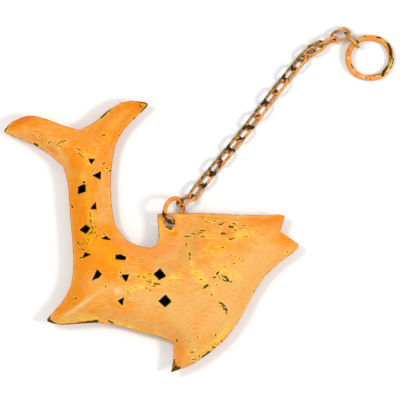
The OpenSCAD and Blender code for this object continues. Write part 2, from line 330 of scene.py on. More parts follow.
def slope(depth):
    """0 on the flat rim, then tanh of the way past it over the slope's width. The foot of the
    slope is rounded by a hyperbola in place of a corner."""
    past = depth - RIM_W
    rounded = (past + np.sqrt(past**2 + FOOT**2)) / 2
    return np.tanh(rounded / SLOPE_W)


inner_places = front_low[:2] + INNER_SHARES[:, :2] * fish_size
inner_tops = INNER_SHARES[:, 2] / slope(pillow_depth(inner_places))
pad_line = front_low[:2] + np.array([HANGING_HOLE_SHARE, FIN_ROOT_SHARE]) * fish_size


def off_pad(places):
    """0 on the flat pad around the hanging hole, easing to 1 away from it."""
    return eased((line_distance(places, pad_line) - PAD_R) / PAD_FADE)


def broad_rise(places):
    """The slope times a top height, the mean of the inner places' tops with the weights
    1 / (r^2 + reach^2)^2, faded to nothing on the flat pad."""
    r_squared = ((places[:, None] - inner_places)**2).sum(axis=2)
    weight = (r_squared + PLACE_REACH**2)**-2
    top = weight @ inner_tops / weight.sum(axis=1)
    return shell_rise * top * slope(pillow_depth(places)) * off_pad(places)


print("back of the body rises", round(broad_rise(from_photo([BODY_MIDDLE_PX]))[0] / MM, 2), "mm")

# %% [markdown]
# ## Hammered relief
# On the dish sit the marks of the tools: a crest on the lower fin, the ridge of the gill cover
# with its slightly raised cheek, the eye's boss, a few raised beads, the bent-in edges of the
# holes, and the unevenness of hand hammering. Each is a bell curve of a distance. The
# unevenness is a sum of plane waves in random directions, the same in each run.

# %% Relief
GILL_PX = [
    (221, 224), (213, 227), (206, 230), (197, 231), (190, 234), (185.5, 240), (186.5, 249),
    (189.5, 260), (194, 270), (200, 277), (206, 284), (211, 292), (216, 300),
]
CHEEK_FAR_PX = [(250, 290), (285, 250), (280, 222), (240, 219)]
FIN_CREST_PX = [
    (55, 321), (60, 318.6), (69, 313), (78, 306), (87, 300), (94, 295.4), (100, 291), (107, 288),
]
EYE_PX = (227, 231.5)
BEADS_PX = [
    ([(215.5, 267.5), (220, 271.5)], 0.35, 2.2),
    ([(222, 275), (229.5, 280.5)], 0.6, 3.0),
    ([(203.5, 288.5), (207.5, 285.5)], 0.35, 2.2),
    ([(219.5, 302), (223, 306), (227.5, 312)], 0.45, 2.2),
    ([(116, 292), (119, 291.5)], 0.35, 4.5),
]
# Heights and half widths of the bells, in millimetres; the eye's bells go round it at a radius
GILL_BELL_MM = (0.5, 1.8)
FIN_CREST_BELL_MM = (0.95, 2.1)
EYE_RINGS_MM = [(0, 0.5, 1.7), (4.1, 0.42, 0.9), (2.7, -0.18, 0.7)]
CHEEK_STEP = 0.4 * MM
CHEEK_STEP_W = 1.1 * MM
CHEEK_FADE = 12 * MM
HAMMER_SEED = 7
# Height and wavelength of the broad unevenness and of the finer marks
HAMMER_WAVES = [(0.16 * MM, 15 * MM), (0.05 * MM, 5 * MM)]
WAVE_COUNT = 18
WAVE_SPREAD = (0.7, 1.6)
# The mean of n random waves seldom swings by more than this over the root of n
WAVE_TALLEST = 1.5


def bell(distance, height_mm, half_width_mm):
    """Height times e to the minus square of the distance over the half width."""
    return height_mm * MM * np.exp(-(distance / (half_width_mm * MM))**2)


def waves(places, size, seed):
    """Mean of plane waves of random directions and starts, of wavelengths near the size, scaled
    to swing between about -1 and 1."""
    random = np.random.default_rng(seed)
    angle = random.uniform(0, 2 * math.pi, WAVE_COUNT)
    number = 2 * math.pi / (size * random.uniform(*WAVE_SPREAD, WAVE_COUNT))
    direction = np.stack([np.cos(angle), np.sin(angle)]) * number
    start = random.uniform(0, 2 * math.pi, WAVE_COUNT)
    return np.sin(places @ direction + start).mean(axis=1) * math.sqrt(WAVE_COUNT) / WAVE_TALLEST


def hammering(places, seed):
    """Broad unevenness of about a tenth of a millimetre, with finer marks on it."""
    seeded = enumerate(HAMMER_WAVES, seed)
    return sum(height * waves(places, size, number) for number, (height, size) in seeded)


def face_relief(places):
    """The gill cover, eye, beads and fin crest of the front shell."""
    gill = from_photo(GILL_PX)
    gill_distance = line_distance(places, gill)
    cheek = inside(places, np.vstack([gill, from_photo(CHEEK_FAR_PX)]))
    cheek_side = np.where(cheek, gill_distance, -gill_distance) / CHEEK_STEP_W
    height = bell(gill_distance, *GILL_BELL_MM)
    height += CHEEK_STEP * (1 + np.tanh(cheek_side)) / 2 * np.exp(-(gill_distance / CHEEK_FADE)**2)
    eye = np.linalg.norm(places - from_photo(EYE_PX), axis=1)
    for radius_mm, height_mm, half_width_mm in EYE_RINGS_MM:
        height += bell(eye - radius_mm * MM, height_mm, half_width_mm)
    for line_px, height_mm, width_px in BEADS_PX:
        height += bell(line_distance(places, from_photo(line_px)), height_mm, width_px * MM_PER_PX)
    return height + bell(line_distance(places, from_photo(FIN_CREST_PX)), *FIN_CREST_BELL_MM)


print("eye stands", round(face_relief(from_photo([EYE_PX]))[0] / MM, 2), "mm out")

# %% [markdown]
# ## From height to sheet
# The sheet is a height over a lattice of triangles that is cut along the rim and the holes. A
# Boolean cut would leave ragged slivers, so the rim and the holes' edges go into a constrained
# Delaunay triangulation, which keeps them as edges. Rings of places beside them let the sheet's
# edge be rounded and the holes' edges be bent in.

# %% Places of a layer
RIM_RINGS = [0.08 * MM, 0.2 * MM, 0.4 * MM, 0.7 * MM, 1.05 * MM]
HOLE_RINGS = [0.25 * MM, 0.6 * MM]
LAST_RING_GAP = 0.3 * MM
# A ring's place is kept where the rim is nowhere nearer than this share of the ring's distance
ROOM_SHARE = 0.95


def lattice(spacing):
    """Places of a lattice of equal triangles over the fish's box: every second row is moved by
    half the spacing."""
    rows = np.arange(0, fish_size[1], spacing * math.sqrt(3) / 2)
    columns = np.arange(0, fish_size[0], spacing)
    x = columns + np.where(np.arange(len(rows)) % 2, spacing / 2, 0)[:, None]
    y = np.broadcast_to(rows[:, None], x.shape)
    return front_low[:2] + np.stack([x.ravel(), y.ravel()], axis=1)


def offset_loop(loop, distance):
    """The loop moved to its left: each point goes square to the line between its neighbours."""
    along = np.roll(loop, -1, axis=0) - np.roll(loop, 1, axis=0)
    left = np.stack([-along[:, 1], along[:, 0]], axis=1) / np.linalg.norm(along, axis=1)[:, None]
    return loop + left * distance


def layer_places(holes, spacing, rim_rings, hole_rings):
    """The rim, the holes, rings beside both where they have room, and the lattice between."""
    free = [(offset_loop(rim, r), r) for r in rim_rings]
    free = [ring[loop_distance(ring, rim) > ROOM_SHARE * r] for ring, r in free]
    free += [offset_loop(hole, -r) for hole in holes for r in hole_rings]
    grid = lattice(spacing)
    grid = grid[inside(grid, rim)]
    grid = grid[loop_distance(grid, rim) > max(rim_rings) + LAST_RING_GAP]
    for hole in holes:
        near = loop_distance(grid, hole) < max(hole_rings + [0]) + LAST_RING_GAP
        grid = grid[~near & ~inside(grid, hole)]
    return np.vstack([rim, *holes, *free, grid])


print("rings beside the rim at", [round(r / MM, 2) for r in RIM_RINGS], "mm")

# %% [markdown]
# The triangulation also fills the holes. A triangle that fills one has its three corners on that
# hole's edge, so it is easy to find and leave out.

# %% Triangles of a layer
# Places nearer to one another than this, in metres, are one corner
SAME_PLACE = 1e-9


def loop_indices(loops):
    """The places of each loop, where the loops come first and one after another."""
    first = np.cumsum([0] + [len(loop) for loop in loops])
    return [np.arange(a, b) for a, b in zip(first[:-1], first[1:])]


def triangles(places, holes):
    """Triangles between the places, inside the rim and outside the holes, seen anticlockwise
    from above."""
    loops = loop_indices([rim, *holes])
    edges = np.vstack([np.stack([loop, np.roll(loop, -1)], axis=1) for loop in loops])
    inside_only = 1
    corners = [Vector(place) for place in places]
    found = delaunay_2d_cdt(corners, edges.tolist(), [], inside_only, SAME_PLACE)
    origin = np.array([ids[0] for ids in found[3]])
    faces = origin[np.array(found[2])]
    loop_of = np.full(len(places), -1)
    for number, loop in enumerate(loops[1:]):
        loop_of[loop] = number
    around = loop_of[faces]
    return faces[~((around[:, 0] >= 0) & (around == around[:, :1]).all(axis=1))]


print("triangulation ready")

# %% [markdown]
# The outer and inner layers share the rim, and a wall joins them around each hole, so the shell
# is one closed skin as thick as the real sheet.

# %% Shell mesh
OUTER_SPACING = {"front_shell": 0.38 * MM, "back_shell": 0.8 * MM}
INNER_SPACING = 0.9 * MM
INNER_RIM_RING = [0.3 * MM]
SHARP_DEG = 45
EDGE_R = 0.5 * MM
EDGE_LIFT = 0.1 * MM
# Places nearer to the rim than this, in metres, lie on it
ON_RIM = 1e-6
RELIEF_FROM_RIM = 3 * MM
BEND_IN_W_MM = 0.6
BEND_IN_MM = 0.28
CAP_W = 0.4 * MM
# The front's relief may stand a little over the construction model's plain sheet
FRONT_TOP = shell_rise + 0.3 * MM
BACK_TOP = shell_rise


def capped(rise, top):
    """Heights kept under the top. From a knee a little below it, what is over the knee, x,
    becomes w (1 - e^(-x / w)), with w the way from the knee to the top."""
    over = np.maximum(rise - (top - CAP_W), 0)
    return np.minimum(rise, top - CAP_W) + CAP_W * (1 - np.exp(-over / CAP_W))


def edge_profile(distance, outer):
    """The outer layer rises beside the rim in a quarter of an ellipse from just above the seam
    to the sheet's thickness. The inner layer drops from there to the seam at once."""
    if not outer:
        return np.where(distance < ON_RIM, EDGE_LIFT, 0)
    share = np.clip(1 - distance / EDGE_R, 0, 1)
    return EDGE_LIFT + (SHEET_T - EDGE_LIFT) * np.sqrt(1 - share**2)


def layer(holes, relief, top, outer, spacing):
    """Points and triangles of one layer at the height above the seam: broad rise, plus relief
    that fades in from the rim, kept under the top, plus the edge, less the bend-in at the
    punched holes."""
    rings = (RIM_RINGS, HOLE_RINGS) if outer else (INNER_RIM_RING, [])
    places = layer_places(holes, spacing, *rings)
    from_rim = loop_distance(places, rim)
    fade = eased(from_rim / RELIEF_FROM_RIM) * off_pad(places)
    rise = broad_rise(places) + relief(places) * fade
    for hole in holes[:-1]:
        rise = rise - bell(loop_distance(places, hole), BEND_IN_MM, BEND_IN_W_MM)
    height = np.maximum(capped(rise, top), 0) + edge_profile(from_rim, outer)
    return np.column_stack([places, height]), triangles(places, holes)


def shell_mesh(holes, relief, top, spacing):
    """The two layers and the walls in the holes as one set of points and triangles, with the
    number of outer triangles. Heights are above the seam."""
    outer, outer_faces = layer(holes, relief, top, True, spacing)
    inner, inner_faces = layer(holes, relief, top, False, INNER_SPACING)
    index = np.arange(len(inner)) + len(outer) - len(rim)
    index[:len(rim)] = np.arange(len(rim))
    walls = []
    for loop in loop_indices([rim, *holes])[1:]:
        ahead = np.roll(loop, -1)
        walls.append(np.stack([loop, ahead, index[ahead]], axis=1))
        walls.append(np.stack([loop, index[ahead], index[loop]], axis=1))
    faces = np.vstack([outer_faces, index[inner_faces][:, ::-1], *walls])
    return np.vstack([outer, inner[len(rim):]]), faces, len(outer_faces)


def add_piece(name, points, faces):
    """A mesh object, smooth but for its sharp edges."""
    mesh = bpy.data.meshes.new(name)
    mesh.from_pydata(points.tolist(), [], faces)
    mesh.shade_smooth()
    mesh.set_sharp_from_angle(angle=math.radians(SHARP_DEG))
    piece = bpy.data.objects.new(name, mesh)
    bpy.context.collection.objects.link(piece)
    return piece


def add_values(piece, values):
    """Stores named numbers at the places of a piece, for its material to read."""
    for name, numbers in values.items():
        attribute = piece.data.attributes.new(name, "FLOAT", "POINT")
        attribute.data.foreach_set("value", np.asarray(numbers, np.float32))


print("shell mesh ready")

# %% [markdown]
# ## Where the paint is worn
# Paint on such a fish wears where it is touched: yellow undercoat shows on the raised parts, and
# short scratches go down to dark iron. A random pattern alone would put them anywhere, so the
# rubbed patches and the larger scratches are listed as lines in the photograph's pixels. The
# material then breaks them up with fine noise.

# %% Listed wear
# Scratches down to iron: two ends and half the width, in pixels
SCRATCHES_PX = [
    (34.5, 143.6, 38, 145.6, 0.9), (38.8, 136, 39.6, 137.2, 0.5), (48.6, 143.4, 50.6, 141.8, 0.5),
    (57, 145.4, 61, 141.6, 0.4), (61, 141.5, 65.6, 140.9, 0.6), (59.5, 146.5, 62.5, 146, 0.4),
    (76.6, 148, 81.2, 150.6, 0.5), (79, 153.2, 81.4, 155.8, 0.6), (82.4, 156.6, 84.4, 157.6, 0.4),
    (102.2, 135, 105.4, 135.4, 0.6), (119.8, 135.8, 120.4, 138, 0.8), (99, 149, 99.6, 151, 0.4),
    (102.2, 164.2, 104.8, 163.4, 0.6), (106.2, 168.6, 108.2, 168, 0.5),
    (109.4, 170.8, 111.4, 170.6, 0.8), (106.4, 171.6, 107.6, 173, 0.4), (92, 171.6, 95, 168.4, 0.4),
    (89.4, 173.6, 91, 177, 0.3), (83.6, 182, 84.8, 182.3, 0.9), (72, 205.4, 72.4, 207, 0.8),
    (90.6, 213, 90.8, 216.4, 0.5), (90.4, 219.8, 91.6, 223, 0.6), (91.6, 226, 93.4, 229, 0.6),
    (90, 232.6, 92, 233.4, 0.6), (96, 225.4, 96.2, 228, 0.5), (93.4, 229.8, 91.4, 232, 0.4),
    (77.8, 242.6, 79.6, 245, 0.5), (86.4, 243.4, 87.6, 244, 0.5), (82.4, 249.2, 84, 249.6, 0.6),
    (80.4, 258, 81.8, 257.2, 0.7), (103, 232.6, 105.8, 234.4, 0.4), (98.6, 283.4, 100.4, 284.2, 0.4),
    (105.8, 285.6, 106.2, 287.4, 0.5), (75, 298, 76.6, 298.4, 0.6), (73.4, 302.6, 73.6, 304.4, 0.4),
    (120.4, 271.6, 121.4, 273, 0.6), (120, 275, 121, 277, 0.6), (138, 276, 139.6, 276.4, 0.5),
    (143.4, 276.6, 145.6, 277.8, 0.5), (149.4, 273.4, 151.4, 273.6, 0.6),
    (147, 281.2, 151.6, 282.4, 0.45), (154.4, 283.4, 159.6, 284, 0.8), (153, 285.6, 156, 286, 0.5),
    (145.6, 287.4, 147, 288.2, 0.6), (150, 289.8, 151.2, 290.8, 0.5), (127.4, 290.6, 129, 292.4, 0.4),
    (129.4, 293, 130.4, 294.4, 0.4), (132, 298.6, 134, 298.6, 0.4), (189.6, 253.2, 190, 255.2, 0.7),
    (189.6, 257.6, 190, 259.4, 0.6), (185.6, 242.6, 186.4, 245.6, 0.5), (191.6, 233.2, 195, 234.2, 0.6),
    (185, 236.6, 190.8, 236.1, 0.55), (199.8, 230.2, 205.2, 230.6, 0.55),
    (198, 232.4, 203.4, 232.9, 0.45), (201, 236.3, 204.2, 236.2, 0.5), (197, 234.2, 199.4, 234.4, 0.4),
    (206.4, 218.4, 208.4, 218.8, 0.3), (211, 217.4, 213, 217.8, 0.3), (214, 221.8, 216.6, 222, 0.35),
    (208.4, 222.6, 210.6, 222.8, 0.3), (219.2, 224.8, 222, 224, 0.7),
    (222.4, 223.4, 224.6, 222.4, 0.45), (229.4, 226.7, 232.6, 227, 1.15),
    (221.8, 233.3, 224.8, 233.4, 0.95), (232.6, 223, 235, 223.4, 0.5),
    (235.2, 223.6, 236.2, 225.2, 0.5), (241.6, 225.4, 246.4, 225.6, 0.35),
    (233.8, 230.6, 236.8, 229.8, 0.5), (229.4, 239.4, 234.6, 237.8, 0.6), (243.6, 236.4, 248, 236, 0.4),
    (221.6, 247.4, 223.4, 247.2, 0.5), (234.4, 256.8, 235.4, 256.2, 0.5),
    (239, 258.6, 239.8, 258.8, 0.4), (234.2, 263.4, 235.2, 263.2, 0.5), (224, 266.4, 225, 266.2, 0.5),
    (216.6, 274, 218.2, 272.2, 0.9), (218, 272.4, 219.8, 269.6, 0.4), (213.2, 277.6, 215.2, 276.8, 0.7),
    (221, 274.4, 224.4, 276.6, 0.5), (223.6, 276, 226.4, 278, 0.8), (225.8, 277.6, 228.2, 280.2, 1.1),
    (222.6, 278.8, 224, 280.4, 0.5), (224, 280.6, 227, 281, 0.7), (218.4, 275.4, 219.6, 278.6, 0.4),
    (230.6, 282.8, 231.4, 281, 0.45), (231.6, 280.6, 232.4, 281.4, 0.5),
    (204.9, 286.8, 207.2, 285.4, 1.3), (201.8, 289.4, 204, 287.6, 0.4), (200.4, 279.4, 202, 279, 0.5),
    (211, 294.4, 211.6, 294.6, 0.7), (219.8, 302.4, 222, 303.4, 0.8), (221.6, 303.4, 224.6, 306.4, 1),
    (223.6, 306.2, 225.8, 309.4, 1.2), (226.4, 308.6, 227.2, 310, 0.8), (226.4, 310, 226.2, 312.8, 0.6),
    (222.6, 308, 223.6, 309.6, 0.5), (176.4, 339, 177.4, 342, 0.6), (191, 351.6, 193.6, 352, 0.6),
    (199, 355.4, 199.6, 356.6, 0.6), (192.4, 359.4, 195.4, 359.6, 0.5), (213, 347.2, 215.2, 347.4, 0.7),
    (221, 341, 222.4, 342, 0.7), (215, 334.2, 215.8, 335.6, 0.6), (197, 336.4, 198.6, 336.8, 0.4),
    (203.4, 357, 209.4, 352.6, 1.4), (172.4, 371.4, 175.4, 366.4, 1.5), (173, 371, 179, 368.6, 1.1),
    (176, 368, 180.4, 366.6, 0.6), (171.6, 367, 174.6, 362.8, 0.7), (174, 362, 174.6, 360, 0.8),
    (225.6, 341, 229.4, 336, 0.8), (253.8, 292.6, 255.6, 290, 0.7), (248.4, 304.6, 250, 302.4, 0.6),
    (47.6, 319.8, 51, 322.6, 1.9), (48, 319.4, 50.4, 316, 0.9), (51, 323, 58, 325, 1.3),
    (60, 325.2, 78, 323.6, 0.9), (78, 323.8, 97, 321.2, 1.4), (108.4, 320.9, 112.8, 322.8, 0.8),
    (101.6, 117.4, 112.8, 105.6, 1.1), (112.8, 105.6, 120, 102.4, 0.5),
    (144.6, 102.6, 148.4, 104.8, 0.9), (148.2, 105, 141, 113.4, 1.2), (135, 117.4, 133.8, 118.8, 0.8),
    (216.2, 284.4, 217.8, 284.6, 0.5), (179.6, 233.6, 181, 233.8, 0.3), (60.4, 150.6, 61.8, 151, 0.3),
    (69.8, 237, 70.4, 240, 0.4), (70.2, 252, 70.8, 256, 0.5), (72.4, 208, 71.8, 203.6, 0.4),
    (96.6, 235, 98, 237, 0.4), (88, 238.6, 89.2, 240.4, 0.4), (94.4, 222.6, 95.2, 224.6, 0.4),
    (139.4, 105.2, 141.6, 107, 0.6), (140, 102.6, 145.4, 102.7, 0.4), (205.4, 221.6, 207, 221.4, 0.4),
    (214.6, 218.2, 216.4, 218.6, 0.4), (4.4, 131.4, 7.6, 126.4, 0.9), (7.6, 126.4, 10.4, 123.6, 0.5),
    (296.4, 242.6, 298.6, 244.6, 0.7), (286.8, 251.8, 287.6, 252.2, 0.6), (158.2, 226, 158, 235, 0.5),
    (70.2, 214, 71.2, 232, 0.4), (162, 213, 163.6, 217.6, 0.8), (165.4, 221, 167, 227.4, 0.7),
    (168.6, 229, 172.4, 229.4, 0.6), (173.4, 227, 174.2, 223.4, 0.5), (165.8, 214.2, 167.6, 218.4, 0.7),
    (164.8, 219.4, 165.8, 225, 0.6), (166, 226.4, 169, 228.2, 0.7), (170, 228, 173.4, 226.4, 0.6),
    (174, 225.4, 174.6, 220.8, 0.8), (171.2, 217.2, 173.8, 219.4, 0.7),
]
print(len(SCRATCHES_PX), "scratches on the front")

# %% [markdown]
# Broader wear and changes of colour are soft ellipses. They could be a painted picture, but a
# list can be read and changed by hand. Each has its middle, half length, half width, slope in
# degrees clockwise, and strength.

# %% Listed patches
# Where the yellow undercoat shows
RUBS_PX = [
    (83, 177.5, 4, 6, 0, 0.9), (61, 144, 8, 4, -25, 0.6), (86, 157, 9, 6, 40, 0.55),
    (95, 152, 12, 12, 0, 0.3), (92, 218, 4, 9, 5, 0.8), (90, 236, 9, 9, 0, 0.45),
    (100, 247, 20, 14, 20, 0.35), (88, 165, 6, 6, 0, 0.3), (118, 262, 13, 10, 10, 0.45),
    (152, 281, 12, 6, 8, 1), (174, 278, 10, 4, -5, 0.9), (140, 274, 9, 3, 8, 0.5),
    (131, 294, 7, 4, 50, 0.5), (170, 292, 12, 5, 0, 0.35), (180, 216.4, 11, 2.4, -6, 0.8),
    (212, 223, 12, 4, -14, 0.55), (234, 222.6, 8, 2.2, 8, 0.85), (241, 234.4, 13, 4.4, -6, 1),
    (231, 239, 6, 2.4, -20, 0.8), (209, 236.5, 9, 3, 0, 0.45), (187, 247, 2.6, 9, 0, 0.6),
    (190.5, 262, 3, 7, -12, 0.75), (196, 273, 6, 5, 50, 1), (202, 279.4, 6, 5, 42, 1),
    (139, 286, 12, 5, 0, 0.7), (179, 283, 7, 4, 0, 0.4), (88, 198, 6, 14, 0, 0.5),
    (214, 250, 20, 10, 0, 0.5), (224, 270, 12, 6, 25, 0.85), (236, 276, 8, 5, 20, 0.75),
    (214, 290, 8, 4, 60, 0.55), (223, 305, 9, 3.6, 52, 0.6), (225, 330, 12, 4, -55, 0.7),
    (213, 344, 12, 4, -38, 0.8), (193, 352, 9, 7, 0, 0.55), (240, 306, 14, 6, -60, 0.3),
    (88, 318, 14, 4.5, 0, 0.85), (62, 321, 12, 2.4, -5, 0.8), (72, 312, 10, 2.4, -35, 0.45),
    (128, 326, 12, 2.4, 14, 0.7), (112, 321.4, 10, 2, 5, 0.6), (162, 220, 3, 9, 0, 0.8),
    (160, 229, 1.8, 8, 0, 0.9), (288, 251, 8, 2.2, -30, 0.5), (115, 127, 9, 6, -45, 0.35),
    (108, 140, 8, 6, 0, 0.35), (127, 112, 10, 4, -40, 0.25), (262, 241, 26, 7, -4, 0.3),
]
# Red-orange stains
STAINS_PX = [
    (23, 119.6, 9, 2.6, -22, 1), (14, 125, 7, 2, -35, 0.6), (140, 105.5, 5, 4, 30, 1),
    (30, 118.6, 6, 1.6, -8, 0.9), (228.5, 234.5, 4.5, 3.6, 0, 0.8), (174, 221.4, 2.4, 5, 0, 1),
    (164.4, 222, 1.4, 6, 0, 0.8), (273, 220, 16, 3.4, 4, 0.35), (52, 150, 6, 2.4, 30, 0.6),
    (113, 239, 5, 4, 0, 0.3), (186, 216, 30, 2, 0, 0.25), (177, 365, 6, 4, 0, 0.8),
    (178, 344, 5, 7, 0, 0.15), (241, 304, 6, 8, 0, 0.25), (99, 143, 10, 2, 20, 0.2),
    (166, 266, 10, 4, 0, 0.25),
]
# Places where the orange coat is thick and saturated, and where it is pale
SATURATED_PX = [
    (80, 215, 13, 80, 0, 1), (98, 132, 16, 12, 0, 0.45), (92, 248, 14, 18, 0, 0.8),
    (72, 300, 10, 12, 0, 0.55), (94, 192, 9, 30, 0, 0.3), (110, 260, 13, 10, 0, 0.9),
    (135, 112, 14, 13, 0, 0.8), (119, 122, 12, 10, 0, 0.2), (141, 105, 5, 4, 0, 1),
    (90, 245, 9, 9, 0, 0.6), (284, 240, 10, 6, 0, 0.6), (276, 225, 10, 5, 0, 0.7),
    (175, 261, 9, 6, 0, 0.5), (240, 291, 10, 9, 0, 0.45), (160, 222, 3, 9, 0, 0.7),
    (266, 222, 30, 4, 0, 0.65), (279, 217, 8, 4, 0, 0.6), (14, 125, 10, 5, -15, 0.6),
    (285, 240, 14, 9, 0, 0.5), (105, 255, 28, 20, 0, 0.8), (30, 122, 26, 9, 0, 0.7),
    (59, 309, 6, 9, 0, 0.9), (178, 350, 6, 20, 0, 0.15), (104, 227, 8, 6, 0, 0.7),
    (148, 276, 10, 6, 0, 0.8), (108, 157, 10, 22, 0, 0.6), (119, 135, 8, 8, 0, 0.5),
    (114, 110, 9, 7, 0, 0.6), (130, 104, 7, 5, 0, 0.5), (112, 236, 9, 5, 10, 0.5),
    (109, 296, 6, 5, 0, 0.5), (188, 225, 6, 5, 0, 0.4), (174, 236, 10, 6, 0, 0.9),
    (71, 166, 4, 6, 0, 0.5), (130, 306, 22, 6, 15, 0.25), (225, 247, 38, 12, 0, 0.5),
]
# Pale patches; those on the lower fin's crest, the bead behind it, the head's top edge and the gill
# cover's upper slope are painted highlights
PALE_AND_HIGHLIGHT_PX = [
    (238, 300, 26, 34, -30, 0.9), (262, 256, 30, 16, -30, 0.9), (190, 310, 40, 24, 0, 0.7),
    (150, 258, 34, 9, 0, 0.35), (170, 250, 16, 18, 0, 0.7), (82, 305, 26, 3, -35, 0.9),
    (118, 290, 12, 6, 0, 0.9), (20, 131, 16, 6, 0, 0.3), (63, 158, 3, 12, -30, 0.7),
    (73, 255, 2.6, 22, 0, 0.6), (103, 203, 6, 20, 0, 0.7), (150, 300, 26, 8, 0, 0.5),
    (102, 300, 12, 9, -30, 0.2), (184, 236, 14, 14, 0, 0.5), (240, 214.4, 26, 2.8, 1, 1),
    (121, 237, 10, 6, 20, 0.9), (189, 335, 8, 8, 0, 0.6), (138, 320, 14, 6, 16, 0.6),
    (79, 261, 6, 10, 0, 0.8), (79, 192, 5, 10, 0, 0.3), (79, 315, 8, 3, 0, 0.5),
    (84, 129, 8, 6, 0, 0.4), (130, 245, 8, 6, 0, 0.9), (144, 295, 10, 5, 0, 0.5),
    (179, 354, 5, 6, 0, 0.4),
]
# Patches of fine dark specks
SPECKLED_PX = [
    (92, 232, 13, 14, 0, 1), (80, 246, 7, 7, 0, 0.9), (150, 280, 13, 8, 8, 1),
    (195, 234, 14, 5, -8, 0.9), (214, 221, 12, 5, -8, 0.9), (232, 226, 14, 7, 0, 0.7),
    (192, 340, 8, 16, 0, 0.7), (214, 345, 11, 7, -35, 0.8), (226, 278, 12, 7, 30, 1),
    (240, 259, 9, 6, 0, 0.8), (103, 165, 9, 8, 20, 0.6), (74, 152, 14, 6, 30, 0.6),
    (106, 289, 9, 6, 0, 0.5), (168, 222, 6, 7, 0, 1), (197, 274, 9, 5, 50, 0.7),
    (222, 306, 6, 8, -30, 0.8), (131, 294, 6, 6, 0, 0.6), (72, 300, 5, 8, 0, 0.5),
    (60, 142, 12, 5, -20, 0.5), (142, 104, 7, 5, 30, 0.6),
]
# Spots of bare iron worn bright, drawn nearly white as painted glints
WORN_IRON_GLINTS_PX = [
    (225, 278.8, 1.1, 0.5, 30, 1.6), (222.4, 277.8, 0.6, 0.5, 0, 1), (165.2, 216.4, 0.7, 0.9, 0, 1.4),
    (171.6, 218.4, 0.9, 0.6, 0, 1.2), (173.4, 225.6, 0.7, 0.7, 0, 1), (224.2, 307.2, 0.7, 0.6, 0, 0.8),
]
# Parts where the orange is pinker
CORAL_PX = [
    (150, 248, 26, 7, 5, 0.9), (264, 223, 34, 4, 2, 0.8), (171, 243, 12, 9, 0, 0.7),
    (150, 256, 14, 5, 0, 0.7), (75, 225, 5, 30, 0, 0.5), (122, 243, 14, 6, 20, 0.7),
    (100, 196, 5, 12, 0, 0.4), (190, 222, 14, 6, 0, 0.5), (45, 128, 26, 4, 12, 0.5),
    (284, 232, 14, 8, 40, 0.5), (180, 340, 7, 14, 0, 0.4), (140, 318, 30, 5, 14, 0.4),
]
# Painted highlights, the lightest, pinkish parts: the crest of the lower fin, beads behind it, a little
# on the belly
HIGHLIGHT_PX = [
    (80, 305.6, 19, 2, -36, 0.9), (118, 291, 5, 3.4, 10, 1), (102, 291, 9, 2.4, -25, 0.3),
    (196, 318, 26, 5, 4, 0.25),
]
print(len(RUBS_PX), "rubbed patches on the front")

# %% [markdown]
# The paint reads one number of each kind at each point of a piece. It could be looked up in a
# picture, but the front's points are closer than the photograph's pixels, so they carry the
# numbers themselves.

# %% Masks from the lists
FULL_SCRATCH_PX = 1.0
FAINTEST_SHARE = 0.8
# Half widths from a scratch's line to where it starts to fade, and on to where it is gone
SCRATCH_CORE = 0.45
SCRATCH_FADE = 1.5
HALO_W = 0.75 * MM


def scratch_mask(places, scratches_px):
    """For each scratch its depth along its line, falling to 0 over its half width and a soft
    edge; the strongest scratch counts. The depth is 1 for a wide scratch and less for a fine
    one. Also gives a wider bell round each scratch, where the top coat has chipped off the
    yellow one."""
    table = np.array(scratches_px)
    a, b = from_photo(table[:, 0:2]), from_photo(table[:, 2:4])
    depths = FAINTEST_SHARE + (1 - FAINTEST_SHARE) * np.clip(table[:, 4] / FULL_SCRATCH_PX, 0, 1)
    half_width = table[:, 4] * MM_PER_PX * MM
    strongest = np.zeros(len(places))
    halo = np.zeros(len(places))
    for start, end, width, depth in zip(a, b, half_width, depths):
        distance = line_distance(places, np.array([start, end]))
        faded = eased((distance / width - SCRATCH_CORE) / SCRATCH_FADE)
        strongest = np.maximum(strongest, depth * (1 - faded))
        halo = np.maximum(halo, depth * np.exp(-(distance / (width + HALO_W))**2))
    return strongest, halo


def patch_mask(places, patches_px):
    """For each patch a bell over an ellipse: its strength times e to the minus square of the
    distance in half sizes; the patches add up, to 1 at most."""
    total = np.zeros(len(places))
    for x, y, half_x, half_y, slope_deg, strength in patches_px:
        away = (places - from_photo([x, y])) / (MM_PER_PX * MM) * [1, -1]
        turn = math.radians(slope_deg)
        along = away @ [math.cos(turn), math.sin(turn)] / half_x
        across = away @ [-math.sin(turn), math.cos(turn)] / half_y
        total += strength * np.exp(-along**2 - across**2)
    return np.minimum(total, 1)


bare_share = scratch_mask(from_photo([SCRATCHES_PX[0][:2]]), SCRATCHES_PX)[0][0]
print("at the first scratch's end", round(bare_share, 2), "of the paint is gone")

# %% [markdown]
# ## The two shells
# The front shell has every mark of the photograph. The photograph doesn't show the back shell,
# so it is plain: the same rim and dish, the hanging hole, and hammering and wear of its own.

# %% Shell pieces
BACK_SEED = 21
BACK_SCRATCHES = 60
BACK_RUBS = 26
# Corners of the box of the back's random wear, its scratches' reach and half widths, and the
# spans of its patches' half length, half width, slope and strength
WEAR_BOX_PX = [(REAR_TIP_PX, 105), (300, BOTTOM_TIP_PX)]
BACK_SCRATCH_REACH_PX = 2
BACK_SCRATCH_WIDTHS_PX = (0.3, 1.1)
BACK_RUB_SPANS_PX = [(4, 13), (2, 6), (-40, 40), (0.3, 1)]
# First of the back's patches that has each kind of wear, and the first that hasn't
BACK_PARTS = {
    "rub": (0, BACK_RUBS), "stain": (0, 4), "deep": (4, 9), "pale": (9, 14), "coral": (14, 18),
    "speckled": (0, 12),
}
EDGE_WEAR_W = 0.55 * MM
HOLE_WEAR_W = 0.35 * MM
UPRIGHT_PX = [(88, 205, 24, 58, 0, 1.0), (98, 138, 24, 20, 0, 0.9)]
RUB_SPECKS = 0.55
